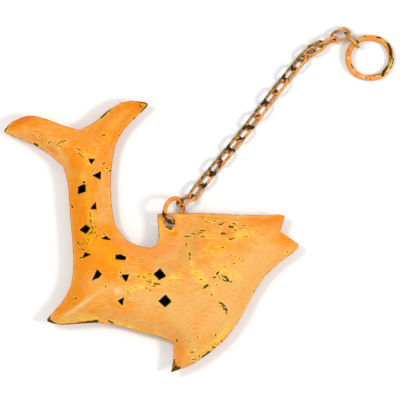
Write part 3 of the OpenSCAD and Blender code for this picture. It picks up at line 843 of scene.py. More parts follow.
# A pale ring round each hole's bent-in edge: a painted highlight
HOLE_EDGE_HIGHLIGHT = 0.8
# A bell to this power is a bell that is 1 / sqrt(0.15), or 2.6 times, as wide
HOLE_EDGE_HIGHLIGHT_POWER = 0.15


def front_relief(places):
    """Hammering with the face, fins and beads on it."""
    return hammering(places, HAMMER_SEED) + face_relief(places)


def back_relief(places):
    """Hammering alone."""
    return hammering(places, BACK_SEED)


def random_wear(seed):
    """Scratches and rubbed patches for the side that the photograph doesn't show, of the same
    sizes as those on the front, at random places on the fish."""
    random = np.random.default_rng(seed)
    starts = random.uniform(*WEAR_BOX_PX, (BACK_SCRATCHES, 2))
    ends = starts + random.normal(0, BACK_SCRATCH_REACH_PX, starts.shape)
    widths = random.uniform(*BACK_SCRATCH_WIDTHS_PX, BACK_SCRATCHES)
    middles = random.uniform(*WEAR_BOX_PX, (BACK_RUBS, 2))
    forms = [random.uniform(*span, BACK_RUBS) for span in BACK_RUB_SPANS_PX]
    return np.column_stack([starts, ends, widths]), np.column_stack([middles, *forms])


def sheet_wear(places, holes, scratches_px, patches_px):
    """The named numbers that the paint reads at each place."""
    hole_edge = [np.exp(-(loop_distance(places, hole) / HOLE_WEAR_W)**2) for hole in holes]
    wear = {name: patch_mask(places, table) for name, table in patches_px.items()}
    wear["scratch"], wear["halo"] = scratch_mask(places, scratches_px)
    wear["speckled"] = np.maximum(wear["speckled"], RUB_SPECKS * wear["rub"])
    wear["rim_edge"] = np.exp(-(loop_distance(places, rim) / EDGE_WEAR_W)**2)
    wear["hole_edge"] = np.max(hole_edge, axis=0)
    # The pale ring round each hole joins the halo as a painted highlight
    wear["halo"] = np.maximum(wear["halo"], HOLE_EDGE_HIGHLIGHT * wear["hole_edge"]**HOLE_EDGE_HIGHLIGHT_POWER)
    return wear


def make_shell(name, holes, relief, top, side, scratches_px, patches_px):
    """A shell above the seam for side 1, or below it and turned inside out for side -1."""
    points, faces, outer_count = shell_mesh(holes, relief, top, OUTER_SPACING[name])
    used, compact = np.unique(faces, return_inverse=True)
    points, faces = points[used], compact.reshape(faces.shape)[:, ::side]
    points[:, 2] = rim_z + side * points[:, 2]
    shell = add_piece(name + "_sheet", points, faces.tolist())
    shell.data.polygons.foreach_set("material_index", np.arange(len(faces)) >= outer_count)
    add_values(shell, sheet_wear(points[:, :2], holes, scratches_px, patches_px))
    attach(shell, "fish")
    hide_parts(name)
    print(name, len(faces), "faces")
    return shell


front_patches = {
    "rub": RUBS_PX, "stain": STAINS_PX, "deep": SATURATED_PX, "pale": PALE_AND_HIGHLIGHT_PX, "coral": CORAL_PX,
    "speckled": SPECKLED_PX, "worn_glint": WORN_IRON_GLINTS_PX, "upright": UPRIGHT_PX, "light": HIGHLIGHT_PX,
}
front_sheet = make_shell(
    "front_shell", [*punched_holes, hanging_hole], front_relief, FRONT_TOP, 1,
    SCRATCHES_PX, front_patches,
)
back_scratches, back_rubs = random_wear(BACK_SEED)
back_patches = {name: back_rubs[first:end] for name, (first, end) in BACK_PARTS.items()}
back_patches["upright"] = UPRIGHT_PX
back_sheet = make_shell(
    "back_shell", [hanging_hole], back_relief, BACK_TOP, -1, back_scratches, back_patches,
)

# %% [markdown]
# ## Bent wire
# A link is round wire bent into a loop of two half rings and two straight sides. Its place comes
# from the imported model: the second moments of the surface give the loop's three directions, and
# its extents along them give its sizes. The wire's section is carried along the loop. A wire
# bent by hand isn't quite even, so its thickness and its line waver a little.

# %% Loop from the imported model
def loop_frame(node):
    """Middle, the three directions (long, wide, square to the loop) and half sizes of a node.
    The directions are the eigenvectors of the sum over the triangles of area times c c^T, where
    c is the triangle's middle from the mean middle."""
    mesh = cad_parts[node].data
    points = np.empty(len(mesh.vertices) * 3)
    mesh.vertices.foreach_get("co", points)
    points = points.reshape(-1, 3)
    mesh.calc_loop_triangles()
    corners = np.empty(len(mesh.loop_triangles) * 3, int)
    mesh.loop_triangles.foreach_get("vertices", corners)
    a, b, c = points[corners.reshape(-1, 3)].transpose(1, 0, 2)
    area = np.linalg.norm(np.cross(b - a, c - a), axis=1) / 2
    middles = (a + b + c) / 3
    middles = middles - np.average(middles, axis=0, weights=area)
    axes = np.linalg.eigh((middles * area[:, None]).T @ middles)[1][:, ::-1].T
    along = points @ axes.T
    low, high = along.min(axis=0), along.max(axis=0)
    return (low + high) / 2 @ axes, axes, (high - low) / 2


def oval_path(half_long, half_wide, count):
    """Points on a loop of two half rings and two straight sides at even steps, with the outward
    direction at each. The half width is the rings' radius; the rest of the length is straight."""
    run = 2 * (half_long - half_wide)
    arc = math.pi * half_wide
    at = np.arange(count) / count * 2 * (run + arc)
    half = at >= run + arc
    at = at - half * (run + arc)
    angle = np.clip((at - run) / half_wide, 0, math.pi)
    outward = np.stack([np.sin(angle), -np.cos(angle)], axis=1)
    straight = np.minimum(at, run) - run / 2
    path = outward * half_wide + np.stack([straight, np.zeros(count)], axis=1)
    turn = np.where(half, -1, 1)[:, None]
    return path * turn, outward * turn


middle, axes, half_sizes = loop_frame("chain_link_05")
print("link 5 is", np.round(half_sizes * 2 / MM, 2), "mm")

# %% [markdown]
# The links' ends are closed with a fine butt seam on one side. The two rings are only bent until
# their ends meet, so they keep a real gap with rounded ends.

# %% Wire sections and ends
SECTION_SIDES = 20
# The wire's wavering, as a share of its radius, its waves in one turn, and their latest start
WAVER = 0.012
WAVER_COUNTS = (3, 7)
WAVER_START = 6
SEAM_SHARES = [0.12, 0.62]
SEAM_W = 0.12 * MM
SEAM_DEPTH_SHARE = 0.12
END_ROUNDING = [(0, 0.74), (0.05, 0.88), (0.14, 0.965), (0.3, 1)]
RING_BUTT_GAP = 0.12 * MM


def section_grid(path, outward, square, radius):
    """Points of the wire: the path plus the radius times cos v outward and sin v square to the
    loop, over the steps along the path and the angle v round the wire."""
    v = np.arange(SECTION_SIDES) / SECTION_SIDES * 2 * math.pi
    ring = np.cos(v)[:, None] * outward[:, None] + np.sin(v)[:, None] * square
    return path[:, None] + radius[:, None, None] * ring


def grid_faces(rows, closed):
    """Quads between neighbouring rows of the section, with a flat face on each end of an open
    wire."""
    ids = np.arange(rows * SECTION_SIDES).reshape(rows, SECTION_SIDES)
    ahead = np.roll(ids, -1, axis=0)
    if not closed:
        ids, ahead = ids[:-1], ahead[:-1]
    beside, beside_ahead = np.roll(ids, -1, axis=1), np.roll(ahead, -1, axis=1)
    faces = np.stack([ids, ahead, beside_ahead, beside], axis=-1).reshape(-1, 4).tolist()
    if not closed:
        faces += [ids[0].tolist(), ahead[-1][::-1].tolist()]
    return faces


def open_ends(path, outward, radius):
    """The closed wire opened at its first step, with the gap half on each side and each end's
    edge rounded."""
    length = np.concatenate([[0], np.cumsum(np.linalg.norm(np.diff(path, axis=0), axis=1))])
    whole = length[-1] + np.linalg.norm(path[0] - path[-1])
    shares = np.array(END_ROUNDING)
    inset = RING_BUTT_GAP / 2 + shares[:, 0] * MM
    middle_part = (length > inset[-1]) & (length < whole - inset[-1])
    at = np.concatenate([inset, length[middle_part], whole - inset[::-1]])
    closed = np.append(length, whole)
    parts = [np.vstack([part, part[:1]]) for part in (path, outward)]
    path, outward = (
        np.stack([np.interp(at, closed, column) for column in part.T], axis=1) for part in parts
    )
    outward = outward / np.linalg.norm(outward, axis=1)[:, None]
    radius = np.interp(at, closed, np.append(radius, radius[0]))
    ends = len(shares)
    radius[:ends] *= shares[:, 1]
    radius[-ends:] *= shares[::-1, 1]
    return path, outward, radius


def wire_radii(wire_r, steps, random):
    """The radius along the loop: a little less than the wire's, wavering with two sines."""
    turn = np.arange(steps) / steps * 2 * math.pi
    sines = [np.sin(count * turn + random.uniform(0, WAVER_START)) for count in WAVER_COUNTS]
    return wire_r * (1 - WAVER * (1 + sum(sines)))


def seam_dip(path, seam):
    """A bell round the step where a link's ends meet, of the distance along the wire."""
    steps = len(path)
    spacing = np.linalg.norm(path[1] - path[0])
    from_seam = np.abs((np.arange(steps) - seam + steps / 2) % steps - steps / 2) * spacing
    return SEAM_DEPTH_SHARE * np.exp(-(from_seam / SEAM_W)**2)


print("a wire has", SECTION_SIDES, "sides")

# %% [markdown]
# One function makes every wire of the object. It also says where paint wears off a wire, on the
# inner face of its ends where the next one rubs, and it marks the wire low on its sides and
# underside, which the paint draws darker as painted shade.

# %% Wire pieces
LINK_STEPS = 144
RING_STEPS = 288
# Share of the way to a link's end from which its inner face is rubbed, the way to its worst, and
# how soon round the wire that face begins
END_FROM = 0.72
END_FADE = 0.3
INNER_GAIN = 1.5
# Share of the wire's radius up to which the side reaches, and its fading above that
SIDE_TOP = 0.4
SIDE_FADE = 0.4


def wire_piece(name, node, body, steps, seed, butt_px=None):
    """A piece of bent wire for a node, open at the butt place if it has one. Also gives its
    points, and two masks: the inner face of its ends, where the next link rubs, and its sides
    and underside."""
    middle, axes, half = loop_frame(node)
    wire_r = half[2]
    flat_path, flat_out = oval_path(half[0] - wire_r, half[1] - wire_r, steps)
    path, outward = middle + flat_path @ axes[:2], flat_out @ axes[:2]
    random = np.random.default_rng(seed)
    radius = wire_radii(wire_r, steps, random)
    if butt_px is None:
        radius = radius * (1 - seam_dip(path, round(steps * random.choice(SEAM_SHARES))))
    else:
        first = np.argmin(np.linalg.norm(path[:, :2] - from_photo(butt_px), axis=1))
        path, outward, radius = (np.roll(part, -first, axis=0) for part in (path, outward, radius))
        path, outward, radius = open_ends(path, outward, radius)
    grid = section_grid(path, outward, np.cross(axes[0], axes[1]), radius)
    points = grid.reshape(-1, 3)
    piece = add_piece(name, points, grid_faces(len(grid), closed=butt_px is None))
    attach(piece, body)
    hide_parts(node)
    inward = -((grid - path[:, None]) * outward[:, None]).sum(axis=2).ravel() / wire_r
    to_end = np.abs((points - middle) @ axes[0]) / (half[0] - 2 * wire_r)
    upward = (points[:, 2] - np.repeat(path[:, 2], SECTION_SIDES)) / wire_r
    # The sides and underside, which the paint draws darker as painted shade
    side = 1 - eased((upward - SIDE_TOP) / SIDE_FADE)
    inner_end = eased((to_end - END_FROM) / END_FADE) * eased(inward * INNER_GAIN)
    return piece, points, inner_end, side


print("links in", LINK_STEPS, "steps, rings in", RING_STEPS)

# %% [markdown]
# ## Wear of the wires
# The hanging ring is the thickest wire and has lost most of its paint where the chain and the
# hook rub on it. The links are black where they touch. The lists have the same forms as the
# fish's.

# %% Wear of the wires
RING_SCRATCHES_PX = [
    (388.4, 43.4, 390.6, 49, 1.2), (390.8, 50, 391.2, 55, 1.4), (391.6, 55, 392.4, 58.4, 0.8),
    (385, 41.6, 388, 44.6, 0.5), (390, 57, 390.6, 62, 0.5), (389.4, 63, 388, 66.4, 0.4),
    (394.4, 58.4, 393.6, 61, 0.5), (392.8, 62, 393.8, 64.6, 0.5), (386.8, 67, 384.4, 71, 1.3),
    (384.6, 71, 382.8, 75, 1.2), (390.6, 68, 392, 66, 0.5), (366.4, 77.6, 367, 77.8, 0.7),
    (370, 74.2, 383, 74, 0.35), (377, 37.2, 381.6, 37.6, 0.7), (372, 76, 376, 75.2, 0.35),
    (357, 40.6, 358.6, 42.4, 0.8), (363.4, 37, 366, 36, 0.4), (349, 50, 348.6, 56, 0.35),
    (351.4, 64, 353.4, 68, 0.4),
]
RING_RUBS_PX = [
    (361, 38.6, 3.4, 2, -20, 0.75), (355.5, 41, 3, 3, 0, 0.8), (393.6, 61, 3, 7, 0, 1),
    (391, 66, 3, 3, 0, 0.9), (385, 42, 5, 3, 30, 0.6), (349, 58, 2.6, 9, 0, 0.2),
    (380, 73.4, 8, 1.4, 0, 0.8),
]
JUMP_SCRATCHES_PX = [
    (162, 211.4, 164.6, 215, 1.3), (181.6, 199, 185.6, 205.6, 1.1), (184.4, 207, 184, 211, 0.5),
    (164.4, 216, 166.4, 219, 0.9), (167, 219.6, 169.4, 222.4, 1.1), (169.6, 219.8, 173, 225.4, 0.9),
    (166.6, 214.6, 169.6, 218, 0.5), (168, 224, 171.6, 226.4, 0.9), (165.4, 221, 167.6, 225, 0.6),
    (171, 216.6, 174, 220, 0.6), (168.6, 195.6, 171, 194, 0.5), (176, 193.8, 178, 194.2, 0.4),
    (163.4, 204, 163.4, 206, 0.4),
]
JUMP_RUBS_PX = [(171, 194, 6, 3, -20, 0.3), (184, 203, 4, 7, 0, 0.4), (163.4, 208, 3, 6, 0, 0.2)]
# Painted highlights: where the rings' paint is drawn lighter and pinker
RING_HIGHLIGHT_PX = [
    (352, 67, 6, 7, 0, 0.4), (361, 75.4, 8, 4, 0, 0.55), (375, 76, 10, 4, 0, 0.5),
    (389, 69, 2.6, 3, 0, 1.4), (349, 57, 4, 5, 0, 0.3), (357, 39.6, 4, 3, 0, 0.6),
    (393, 52, 2, 5, 0, 0.8), (165, 206, 4, 7, 0, 0.4), (178, 195, 5, 3, 0, 0.4),
]

# Direction across the chain to the side of each link with more bare iron and rubbed paint, and its
# blackest places in the patches' form
UPPER_LEFT_SIDE = np.array([-0.77, 0.64])
CHAIN_BLACK_PX = [
    (182, 207, 2.6, 2.4, 0, 1), (193, 196, 2, 2, 0, 0.7), (204.7, 185.6, 3.6, 2.8, -45, 1.2),
    (213, 173.7, 4.6, 2.8, -30, 1.2), (217.4, 166, 2, 4, 30, 0.8), (222, 158, 2, 3, 30, 0.8),
    (230, 149, 3.6, 3.2, 0, 1.1), (227.6, 146, 2, 3, 30, 0.8), (241, 138, 3, 3, 0, 0.9),
    (249.6, 126.6, 3.6, 3.2, 0, 1.2), (244, 128, 2, 3, 40, 0.7), (255.7, 109.4, 2, 4, 30, 1),
    (262, 103, 3, 2.4, 0, 1), (266.6, 102.4, 3, 2.6, 0, 1.1), (265, 97, 2, 3.4, 30, 0.8),
    (276, 90, 2.6, 2.4, 0, 0.8), (282.6, 76.4, 3.4, 3.2, 0, 1.3), (280.6, 74, 2, 2, 0, 0.9),
    (292, 67, 2.6, 3, 0, 1), (294.6, 69.4, 2.4, 2.4, 0, 0.8), (309.6, 45.6, 3, 2, -20, 1),
    (321, 41, 3, 2, 0, 0.8), (325, 38, 2, 1.6, 0, 0.8), (341.5, 33.4, 3, 1.6, -20, 0.8),
    (358.7, 42.3, 2, 2.4, 0, 0.9), (346, 33, 4, 2.4, 0, 0.5), (253.6, 127.2, 1.6, 1.6, 0, 0.9),
    (237, 133, 1.4, 1.4, 0, 0.8), (244.2, 138, 2.4, 1.2, -30, 0.8), (234.8, 138, 1.8, 1.4, 30, 0.8),
    (233.9, 150.4, 1.4, 1.6, 0, 0.8), (225.4, 148.6, 1, 1.4, 0, 0.7), (217.4, 156.3, 1.2, 2.6, 35, 0.9),
    (219.6, 159, 1.6, 1.6, 0, 0.8), (220.6, 165, 1.2, 4, 20, 0.8), (227.4, 159, 1, 4.4, 40, 0.7),
    (210.3, 169.2, 1.6, 2.4, 40, 0.8), (272, 95, 1.4, 2.4, 35, 0.7), (286, 78, 1.6, 1.6, 0, 0.7),
    (299, 60, 1.4, 2.6, 40, 0.7), (187, 200, 1.4, 2.4, 40, 0.7), (199, 190, 1.6, 1.4, 0, 0.7),
]
print(len(CHAIN_BLACK_PX), "black places on the chain")

# %% [markdown]
# ## Chain and rings
# Each link is a piece of its own, so that the chain can fold. Each link has more bare iron on
# its upper left side, each wire is drawn darker low on its sides and underside as painted shade,
# and the rings open at their butts.

# %% Chain and rings
LINK_COUNT = 18
RING_SEED = 41
HANGING_BUTT_PX = (370, 77.6)
JUMP_BUTT_PX = (164.7, 213.1)
# Most bare iron and rubbed paint on a link's upper left side, and on its lower side as painted
# shade, and how much lighter the paint is drawn on its top, as a painted highlight
UPPER_LEFT_BARE = 0.5
UPPER_LEFT_RUB = 0.22
SIDE_BARE = 0.2
SIDE_RUB = 0.1
LINK_TOP_HIGHLIGHT = 0.3


def upper_left_share(points):
    """0 on the middle line of a link to 1 on its upper left side."""
    across = (points[:, :2] - points[:, :2].mean(axis=0)) @ UPPER_LEFT_SIDE
    return eased(across / np.abs(across).max())


links = []
for number in range(1, LINK_COUNT + 1):
    link, points, inner_end, side = wire_piece(
        f"link_{number:02d}_wire", f"chain_link_{number:02d}", f"link_{number:02d}",
        LINK_STEPS, number,
    )
    upper_left = upper_left_share(points)
    black = patch_mask(points[:, :2], CHAIN_BLACK_PX)
    # Bare iron and rubs low on the sides are painted shade; the lighter top is a painted highlight
    bare = np.max([inner_end, black, UPPER_LEFT_BARE * upper_left, SIDE_BARE * side], axis=0)
    rub = np.maximum(UPPER_LEFT_RUB * upper_left, SIDE_RUB * side)
    add_values(link, {"bare": bare, "rub": rub, "side": side, "light": LINK_TOP_HIGHLIGHT * (1 - side)})
    links.append(link)

rings = []
for node, butt_px, scratches_px, rubs_px in (
    ("hanging_ring", HANGING_BUTT_PX, RING_SCRATCHES_PX, RING_RUBS_PX),
    ("fish_ring", JUMP_BUTT_PX, JUMP_SCRATCHES_PX, JUMP_RUBS_PX),
):
    ring, points, _, side = wire_piece(
        node + "_wire", node, node, RING_STEPS, RING_SEED + len(rings), butt_px,
    )
    places = points[:, :2]
    # The light mask holds the rings' painted highlights
    add_values(ring, {
        "bare": scratch_mask(places, scratches_px)[0], "rub": patch_mask(places, rubs_px),
        "light": patch_mask(places, RING_HIGHLIGHT_PX), "side": side,
    })
    rings.append(ring)
print(len(links), "links and", len(rings), "rings")

# %% [markdown]
# ## Colours and nodes
# Colours are read as sRGB hex values, and the renderer needs linear light, so one function turns
# them. Another adds any node with its settings and inputs. Paint is then made of coats: a mask
# says how much of each coat lies over those below, and noise breaks up the mask's edge.

# %% Material helpers
def srgb(code):
    """Linear colour of an sRGB hex value: c / 12.92 in the darks, else ((c + 0.055) / 1.055) to
    the power 2.4."""
    values = [int(code[i:i + 2], 16) / 255 for i in (1, 3, 5)]
    return (*(c / 12.92 if c <= 0.04045 else ((c + 0.055) / 1.055)**2.4 for c in values), 1)


def add(tree, kind, inputs=(), output=0, **settings):
    """Adds a node of a kind, sets its settings, and sets each input, named or in order, to a
    value or links it to a socket. Gives one of the node's outputs, if it has any."""
    node = tree.nodes.new("ShaderNode" + kind)
    for name, setting in settings.items():
        setattr(node, name, setting)
    for key, given in inputs.items() if isinstance(inputs, dict) else enumerate(inputs):
        if isinstance(given, bpy.types.NodeSocket):
            tree.links.new(given, node.inputs[key])
        else:
            node.inputs[key].default_value = given
    return node.outputs[output] if node.outputs else None


def new_material(name):
    """A material with an empty node tree."""
    material = bpy.data.materials.new(name)
    material.use_nodes = True
    material.node_tree.nodes.clear()
    return material, material.node_tree


def finish_material(tree, height, inputs):
    """Ends a tree with a bump for the height in metres, the shader and the output."""
    bump = add(tree, "Bump", {"Distance": 1.0, "Height": height}, "Normal")
    surface = add(tree, "BsdfPrincipled", {"Normal": bump, **inputs})
    add(tree, "OutputMaterial", {"Surface": surface})


def stored_masks(tree, names):
    """The numbers that are stored at a piece's points, by name."""
    return {name: add(tree, "Attribute", output="Fac", attribute_name=name) for name in names}


def noise(tree, size, detail=3.0, stretch=(1, 1, 1), roughness=0.55):
    """Noise whose blobs are as big as the size, longer along an axis by its stretch."""
    place = add(tree, "TexCoord", output="Object")
    scale = [1 / (size * s) for s in stretch]
    place = add(tree, "Mapping", {"Vector": place, "Scale": scale})
    inputs = {"Vector": place, "Scale": 1.0, "Detail": detail, "Roughness": roughness}
    return add(tree, "TexNoise", inputs)


def broken_up(tree, mask, patterns, strengths):
    """The mask plus each pattern's swing about a half, times the pattern's strength."""
    for pattern, strength in zip(patterns, strengths):
        inputs = [pattern, strength, -strength / 2]
        swing = add(tree, "Math", inputs, operation="MULTIPLY_ADD")
        mask = add(tree, "Math", [mask, swing], operation="ADD")
    return mask


def laid_over(tree, colour, coat, mask, start, full, most=1.0):
    """The colour with a coat over it: none of it where the mask is below the start, easing to
    its most where the mask is full. A Mix node takes the share at its input 0 and two colours at
    6 and 7, and gives the mixed one at its output 2."""
    inputs = [mask, start, full, 0.0, most]
    share = add(tree, "MapRange", inputs, interpolation_type="SMOOTHSTEP")
    return add(tree, "Mix", {0: share, 6: colour, 7: coat}, 2, data_type="RGBA")


print("middle grey in linear light:", round(srgb("#808080")[0], 3))

# %% [markdown]
# ## Painted sheet iron
# The finish is a brushed oil paint, orange over a yellow coat, on dark iron. It is satin, so it
# has broad soft highlights. A single orange would look like plastic: the real coat is thin, so
# it is paler where the yellow shines through and deeper where the brush left more. The layers
# are mixed in the order in which they were painted, and each wear mask is broken up by noise.
# The lightest parts, some pale patches, a pale ring round each hole and nearly white spots on
# worn iron are painted highlights.

# %% Colours and patterns of the sheet's paint
SHEET_MASKS = [
    "scratch", "halo", "rub", "stain", "deep", "pale", "coral", "speckled", "worn_glint", "upright",
    "light", "rim_edge", "hole_edge",
]
ORANGE = srgb("#EE8A02")
PEACH = srgb("#E6AB5C")
CORAL = srgb("#EA8E3A")
AMBER = srgb("#E07E06")
# Pinkish colour of the painted highlights
PINK_HIGHLIGHT = srgb("#F2BC88")
UNDERCOAT = srgb("#F0B93C")
PALE_YELLOW = srgb("#F4CC70")
GOLD = srgb("#ECAA1C")
STAIN_RED = srgb("#D4560C")
HAIR_BROWN = srgb("#B05C14")
EDGE_BROWN = srgb("#7A4420")
RUST_BROWN = srgb("#7C5814")
DARK_IRON = srgb("#2A1E06")
# Nearly white iron for the painted glints on spots of worn iron
WORN_IRON_GLINT = srgb("#D9DCCB")
# The usual index of an oil paint, with less shine than a polished coat, as this one has gone dull
SATIN = {"IOR": 1.5, "Specular IOR Level": 0.12}
SATIN_ROUGH = 0.34
GRIT_ROUGHER = 0.16
BARE_ROUGHER = 0.15
BARE_METALLIC = 0.85
PAINT_T = 0.05 * MM
STREAK_H = 0.02 * MM

# Sizes of the patterns. The brush's real hairs are finer than a pixel, so they are drawn coarser
STREAK_W = 0.55 * MM
STREAK_STRETCH = 14
BLOTCH = 9 * MM
PATCHY = 4 * MM
GRIT = 0.45 * MM
BIT = 1.2 * MM
SPECK = 0.6 * MM
SPECK_STRETCH = 2
DAB = 0.9 * MM
DAB_STRETCH = 2.2

# For each coat, its mask's value where it starts and where it is full, and the most of it
CORAL_COAT = (0.2, 1.0, 0.85)
AMBER_COAT = (0.48, 0.7, 0.55)
# The painted highlights' coat
HIGHLIGHT_COAT = (0.2, 0.9, 0.9)
PALE_YELLOW_COAT = (0.48, 0.66)
RUB_COAT = (0.14, 0.86, 0.9)
HAIR_COAT = (0.54, 0.68, 0.46)
RIM_COAT = (0.5, 1.2, 0.75)
RUST_COAT = (0.4, 0.6)
# The same values where a step in a pattern makes a mask
STAIN_STEP = (0.25, 0.6, 0.0, 0.8)
SPECK_STEP = (0.54, 0.64, 0.0, 0.8)
BARE_STEP = (0.36, 0.78)

# The top coat's usual depth, what its stored masks add to it, and how its patterns swing it
DEPTH_MIDDLE = 0.45
DEEP_MORE = 0.75
PALE_LESS = 0.65
DEPTH_STRENGTHS = (1.7, 1.9)
TINT_STRENGTH = 1.2
HALO_SHARE = 0.9
RUB_STRENGTHS = (3.2, 3.2, 2.0)
RIM_STRENGTHS = (1.6, 1.2)
BARE_STRENGTHS = (1.5, 1.0)
print("sheet paint from", BLOTCH / MM, "mm blotches and", STREAK_W / MM, "mm streaks")

# %% [markdown]
# The coats could all be mixed in one long list. It is easier to see and change one when each
# group has its function: the orange coat, what shows where it is rubbed, and where iron is bare.

# %% Coats of the sheet's paint
def brush_streaks(tree, width, mask):
    """Streaks of a flat brush: noise stretched along the fish, or upright on its tail."""
    lying = noise(tree, width, stretch=(STREAK_STRETCH, 1, 1))
    upright = noise(tree, width, stretch=(1, STREAK_STRETCH, 1))
    return add(tree, "Mix", {0: mask["upright"], 2: lying, 3: upright}, data_type="FLOAT")


def top_coat(tree, mask, streaks):
    """Peach where the orange is thin, orange and amber where it is thick, with pinker parts, and
    painted highlights in the lightest, pinkish parts."""
    patterns = noise(tree, BLOTCH, detail=4), streaks
    depth = broken_up(tree, DEPTH_MIDDLE, patterns, DEPTH_STRENGTHS)
    depth = add(tree, "Math", [mask["deep"], DEEP_MORE, depth], operation="MULTIPLY_ADD")
    # Pale patches thin the orange, some of them as painted highlights
    less = [mask["pale"], -PALE_LESS, depth]
    depth = add(tree, "Math", less, operation="MULTIPLY_ADD", use_clamp=True)
    colour = add(tree, "Mix", {0: depth, 6: PEACH, 7: ORANGE}, 2, data_type="RGBA")
    coral = broken_up(tree, mask["coral"], [streaks], [TINT_STRENGTH])
    colour = laid_over(tree, colour, CORAL, coral, *CORAL_COAT)
    amber = add(tree, "Math", [depth, streaks], operation="MULTIPLY")
    colour = laid_over(tree, colour, AMBER, amber, *AMBER_COAT)
    # Painted highlights: the lightest, pinkish parts
    light = broken_up(tree, mask["light"], [streaks], [TINT_STRENGTH])
    return laid_over(tree, colour, PINK_HIGHLIGHT, light, *HIGHLIGHT_COAT)


def rubs_and_stains(tree, mask, colour, streaks, grit, dabs):
    """Yellow where the orange is rubbed off and where it is chipped off round a scratch, and a pale
    ring round each hole as a painted highlight, all in dabs of two yellows; and red-orange stains."""
    chipped_and_highlit = add(tree, "Math", [mask["halo"], HALO_SHARE], operation="MULTIPLY")
    worn = add(tree, "Math", [mask["rub"], chipped_and_highlit], operation="MAXIMUM")
    broken = broken_up(tree, 1.0, (streaks, dabs, grit), RUB_STRENGTHS)
    worn = add(tree, "Math", [worn, broken], operation="MULTIPLY")
    yellow = laid_over(tree, UNDERCOAT, PALE_YELLOW, dabs, *PALE_YELLOW_COAT)
    yellow = add(tree, "Mix", {0: mask["deep"], 6: yellow, 7: GOLD}, 2, data_type="RGBA")
    colour = laid_over(tree, colour, yellow, worn, *RUB_COAT)
    grainy = add(tree, "MapRange", [grit, *STAIN_STEP], interpolation_type="SMOOTHSTEP")
    stain = add(tree, "Math", [mask["stain"], grainy], operation="MULTIPLY")
    return add(tree, "Mix", {0: stain, 6: colour, 7: STAIN_RED}, 2, data_type="RGBA")


def bare_places(tree, mask, grit):
    """1 where scratches, fine specks and the holes' edges go down to the iron."""
    specks = noise(tree, SPECK, stretch=(SPECK_STRETCH, 1, 1))
    specks = add(tree, "MapRange", [specks, *SPECK_STEP], interpolation_type="SMOOTHSTEP")
    specks = add(tree, "Math", [mask["speckled"], specks], operation="MULTIPLY")
    bare = add(tree, "Math", [mask["scratch"], specks], operation="MAXIMUM")
    bare = add(tree, "Math", [bare, mask["hole_edge"]], operation="MAXIMUM")
    bare = broken_up(tree, bare, (grit, noise(tree, BIT)), BARE_STRENGTHS)
    return add(tree, "MapRange", [bare, *BARE_STEP], interpolation_type="SMOOTHSTEP")


print("coats in order: orange, yellow where rubbed, stains, brown lines, iron")

# %% [markdown]
# The sheet's material lays the coats over one another. Bare iron lies lower than the paint by
# the paint's thickness, and the brush leaves ridges.

# %% Painted sheet material
def painted_sheet():
    """Orange over yellow over iron, with brush streaks, rubbed patches, stains and scratches."""
    material, tree = new_material("oil_paint_on_sheet_iron")
    mask = stored_masks(tree, SHEET_MASKS)
    streaks = brush_streaks(tree, STREAK_W, mask)
    grit = noise(tree, GRIT, detail=5, roughness=0.65)
    dabs = noise(tree, DAB, stretch=(DAB_STRETCH, 1, 1))
    colour = top_coat(tree, mask, streaks)
    colour = rubs_and_stains(tree, mask, colour, streaks, grit, dabs)
    hairlines = brush_streaks(tree, STREAK_W / 2, mask)
    colour = laid_over(tree, colour, HAIR_BROWN, hairlines, *HAIR_COAT)
    rim_line = broken_up(tree, mask["rim_edge"], (noise(tree, PATCHY), grit), RIM_STRENGTHS)
    colour = laid_over(tree, colour, EDGE_BROWN, rim_line, *RIM_COAT)

    bare = bare_places(tree, mask, grit)
    iron = laid_over(tree, DARK_IRON, RUST_BROWN, grit, *RUST_COAT)
    # Spots of worn iron drawn nearly white: painted glints
    iron = add(tree, "Mix", {0: mask["worn_glint"], 6: iron, 7: WORN_IRON_GLINT}, 2, data_type="RGBA")
    colour = add(tree, "Mix", {0: bare, 6: colour, 7: iron}, 2, data_type="RGBA")
    height = add(tree, "Math", [streaks, STREAK_H], operation="MULTIPLY")
    height = add(tree, "Math", [bare, -PAINT_T, height], operation="MULTIPLY_ADD")
    rough = add(tree, "Math", [bare, BARE_ROUGHER, SATIN_ROUGH], operation="MULTIPLY_ADD")
    rough = add(tree, "Math", [grit, GRIT_ROUGHER, rough], operation="MULTIPLY_ADD")
    finish_material(tree, height, {
        "Base Color": colour, "Roughness": rough,
        "Metallic": add(tree, "Math", [bare, BARE_METALLIC], operation="MULTIPLY"), **SATIN,
    })
    return material


sheet_paint = painted_sheet()
print("sheet paint has", len(sheet_paint.node_tree.nodes), "nodes")

# %% [markdown]
# ## Raw iron inside
# Inside the fish the sheet was never painted. It is iron with a dark scale from the forge, which
# is dull and brown-black. Its light comes only through the holes.

# %% Raw iron material
SCALE_BLACK = srgb("#2B261D")
SCALE_BROWN = srgb("#5A4632")
SCALE_BLOTCH = 3 * MM
SCALE_COAT = (0.4, 0.7)
SCALE_H = 0.1 * MM
SCALE_ROUGH = 0.5
SCALE_ROUGHER = 0.3
SCALE_METALLIC = 0.4


def raw_iron():
    """Iron with forge scale: dark blotches, dull."""
    material, tree = new_material("forge_scaled_iron")
    blotches = noise(tree, SCALE_BLOTCH, detail=6, roughness=0.7)
    rough = [blotches, SCALE_ROUGHER, SCALE_ROUGH]
    finish_material(tree, add(tree, "Math", [blotches, SCALE_H], operation="MULTIPLY"), {
        "Base Color": laid_over(tree, SCALE_BLACK, SCALE_BROWN, blotches, *SCALE_COAT),
        "Roughness": add(tree, "Math", rough, operation="MULTIPLY_ADD"),
        "Metallic": SCALE_METALLIC,
    })
    return material


inside_iron = raw_iron()
for shell in (front_sheet, back_sheet):
    shell.data.materials.append(sheet_paint)
    shell.data.materials.append(inside_iron)
print("both shells have paint outside and raw iron inside")

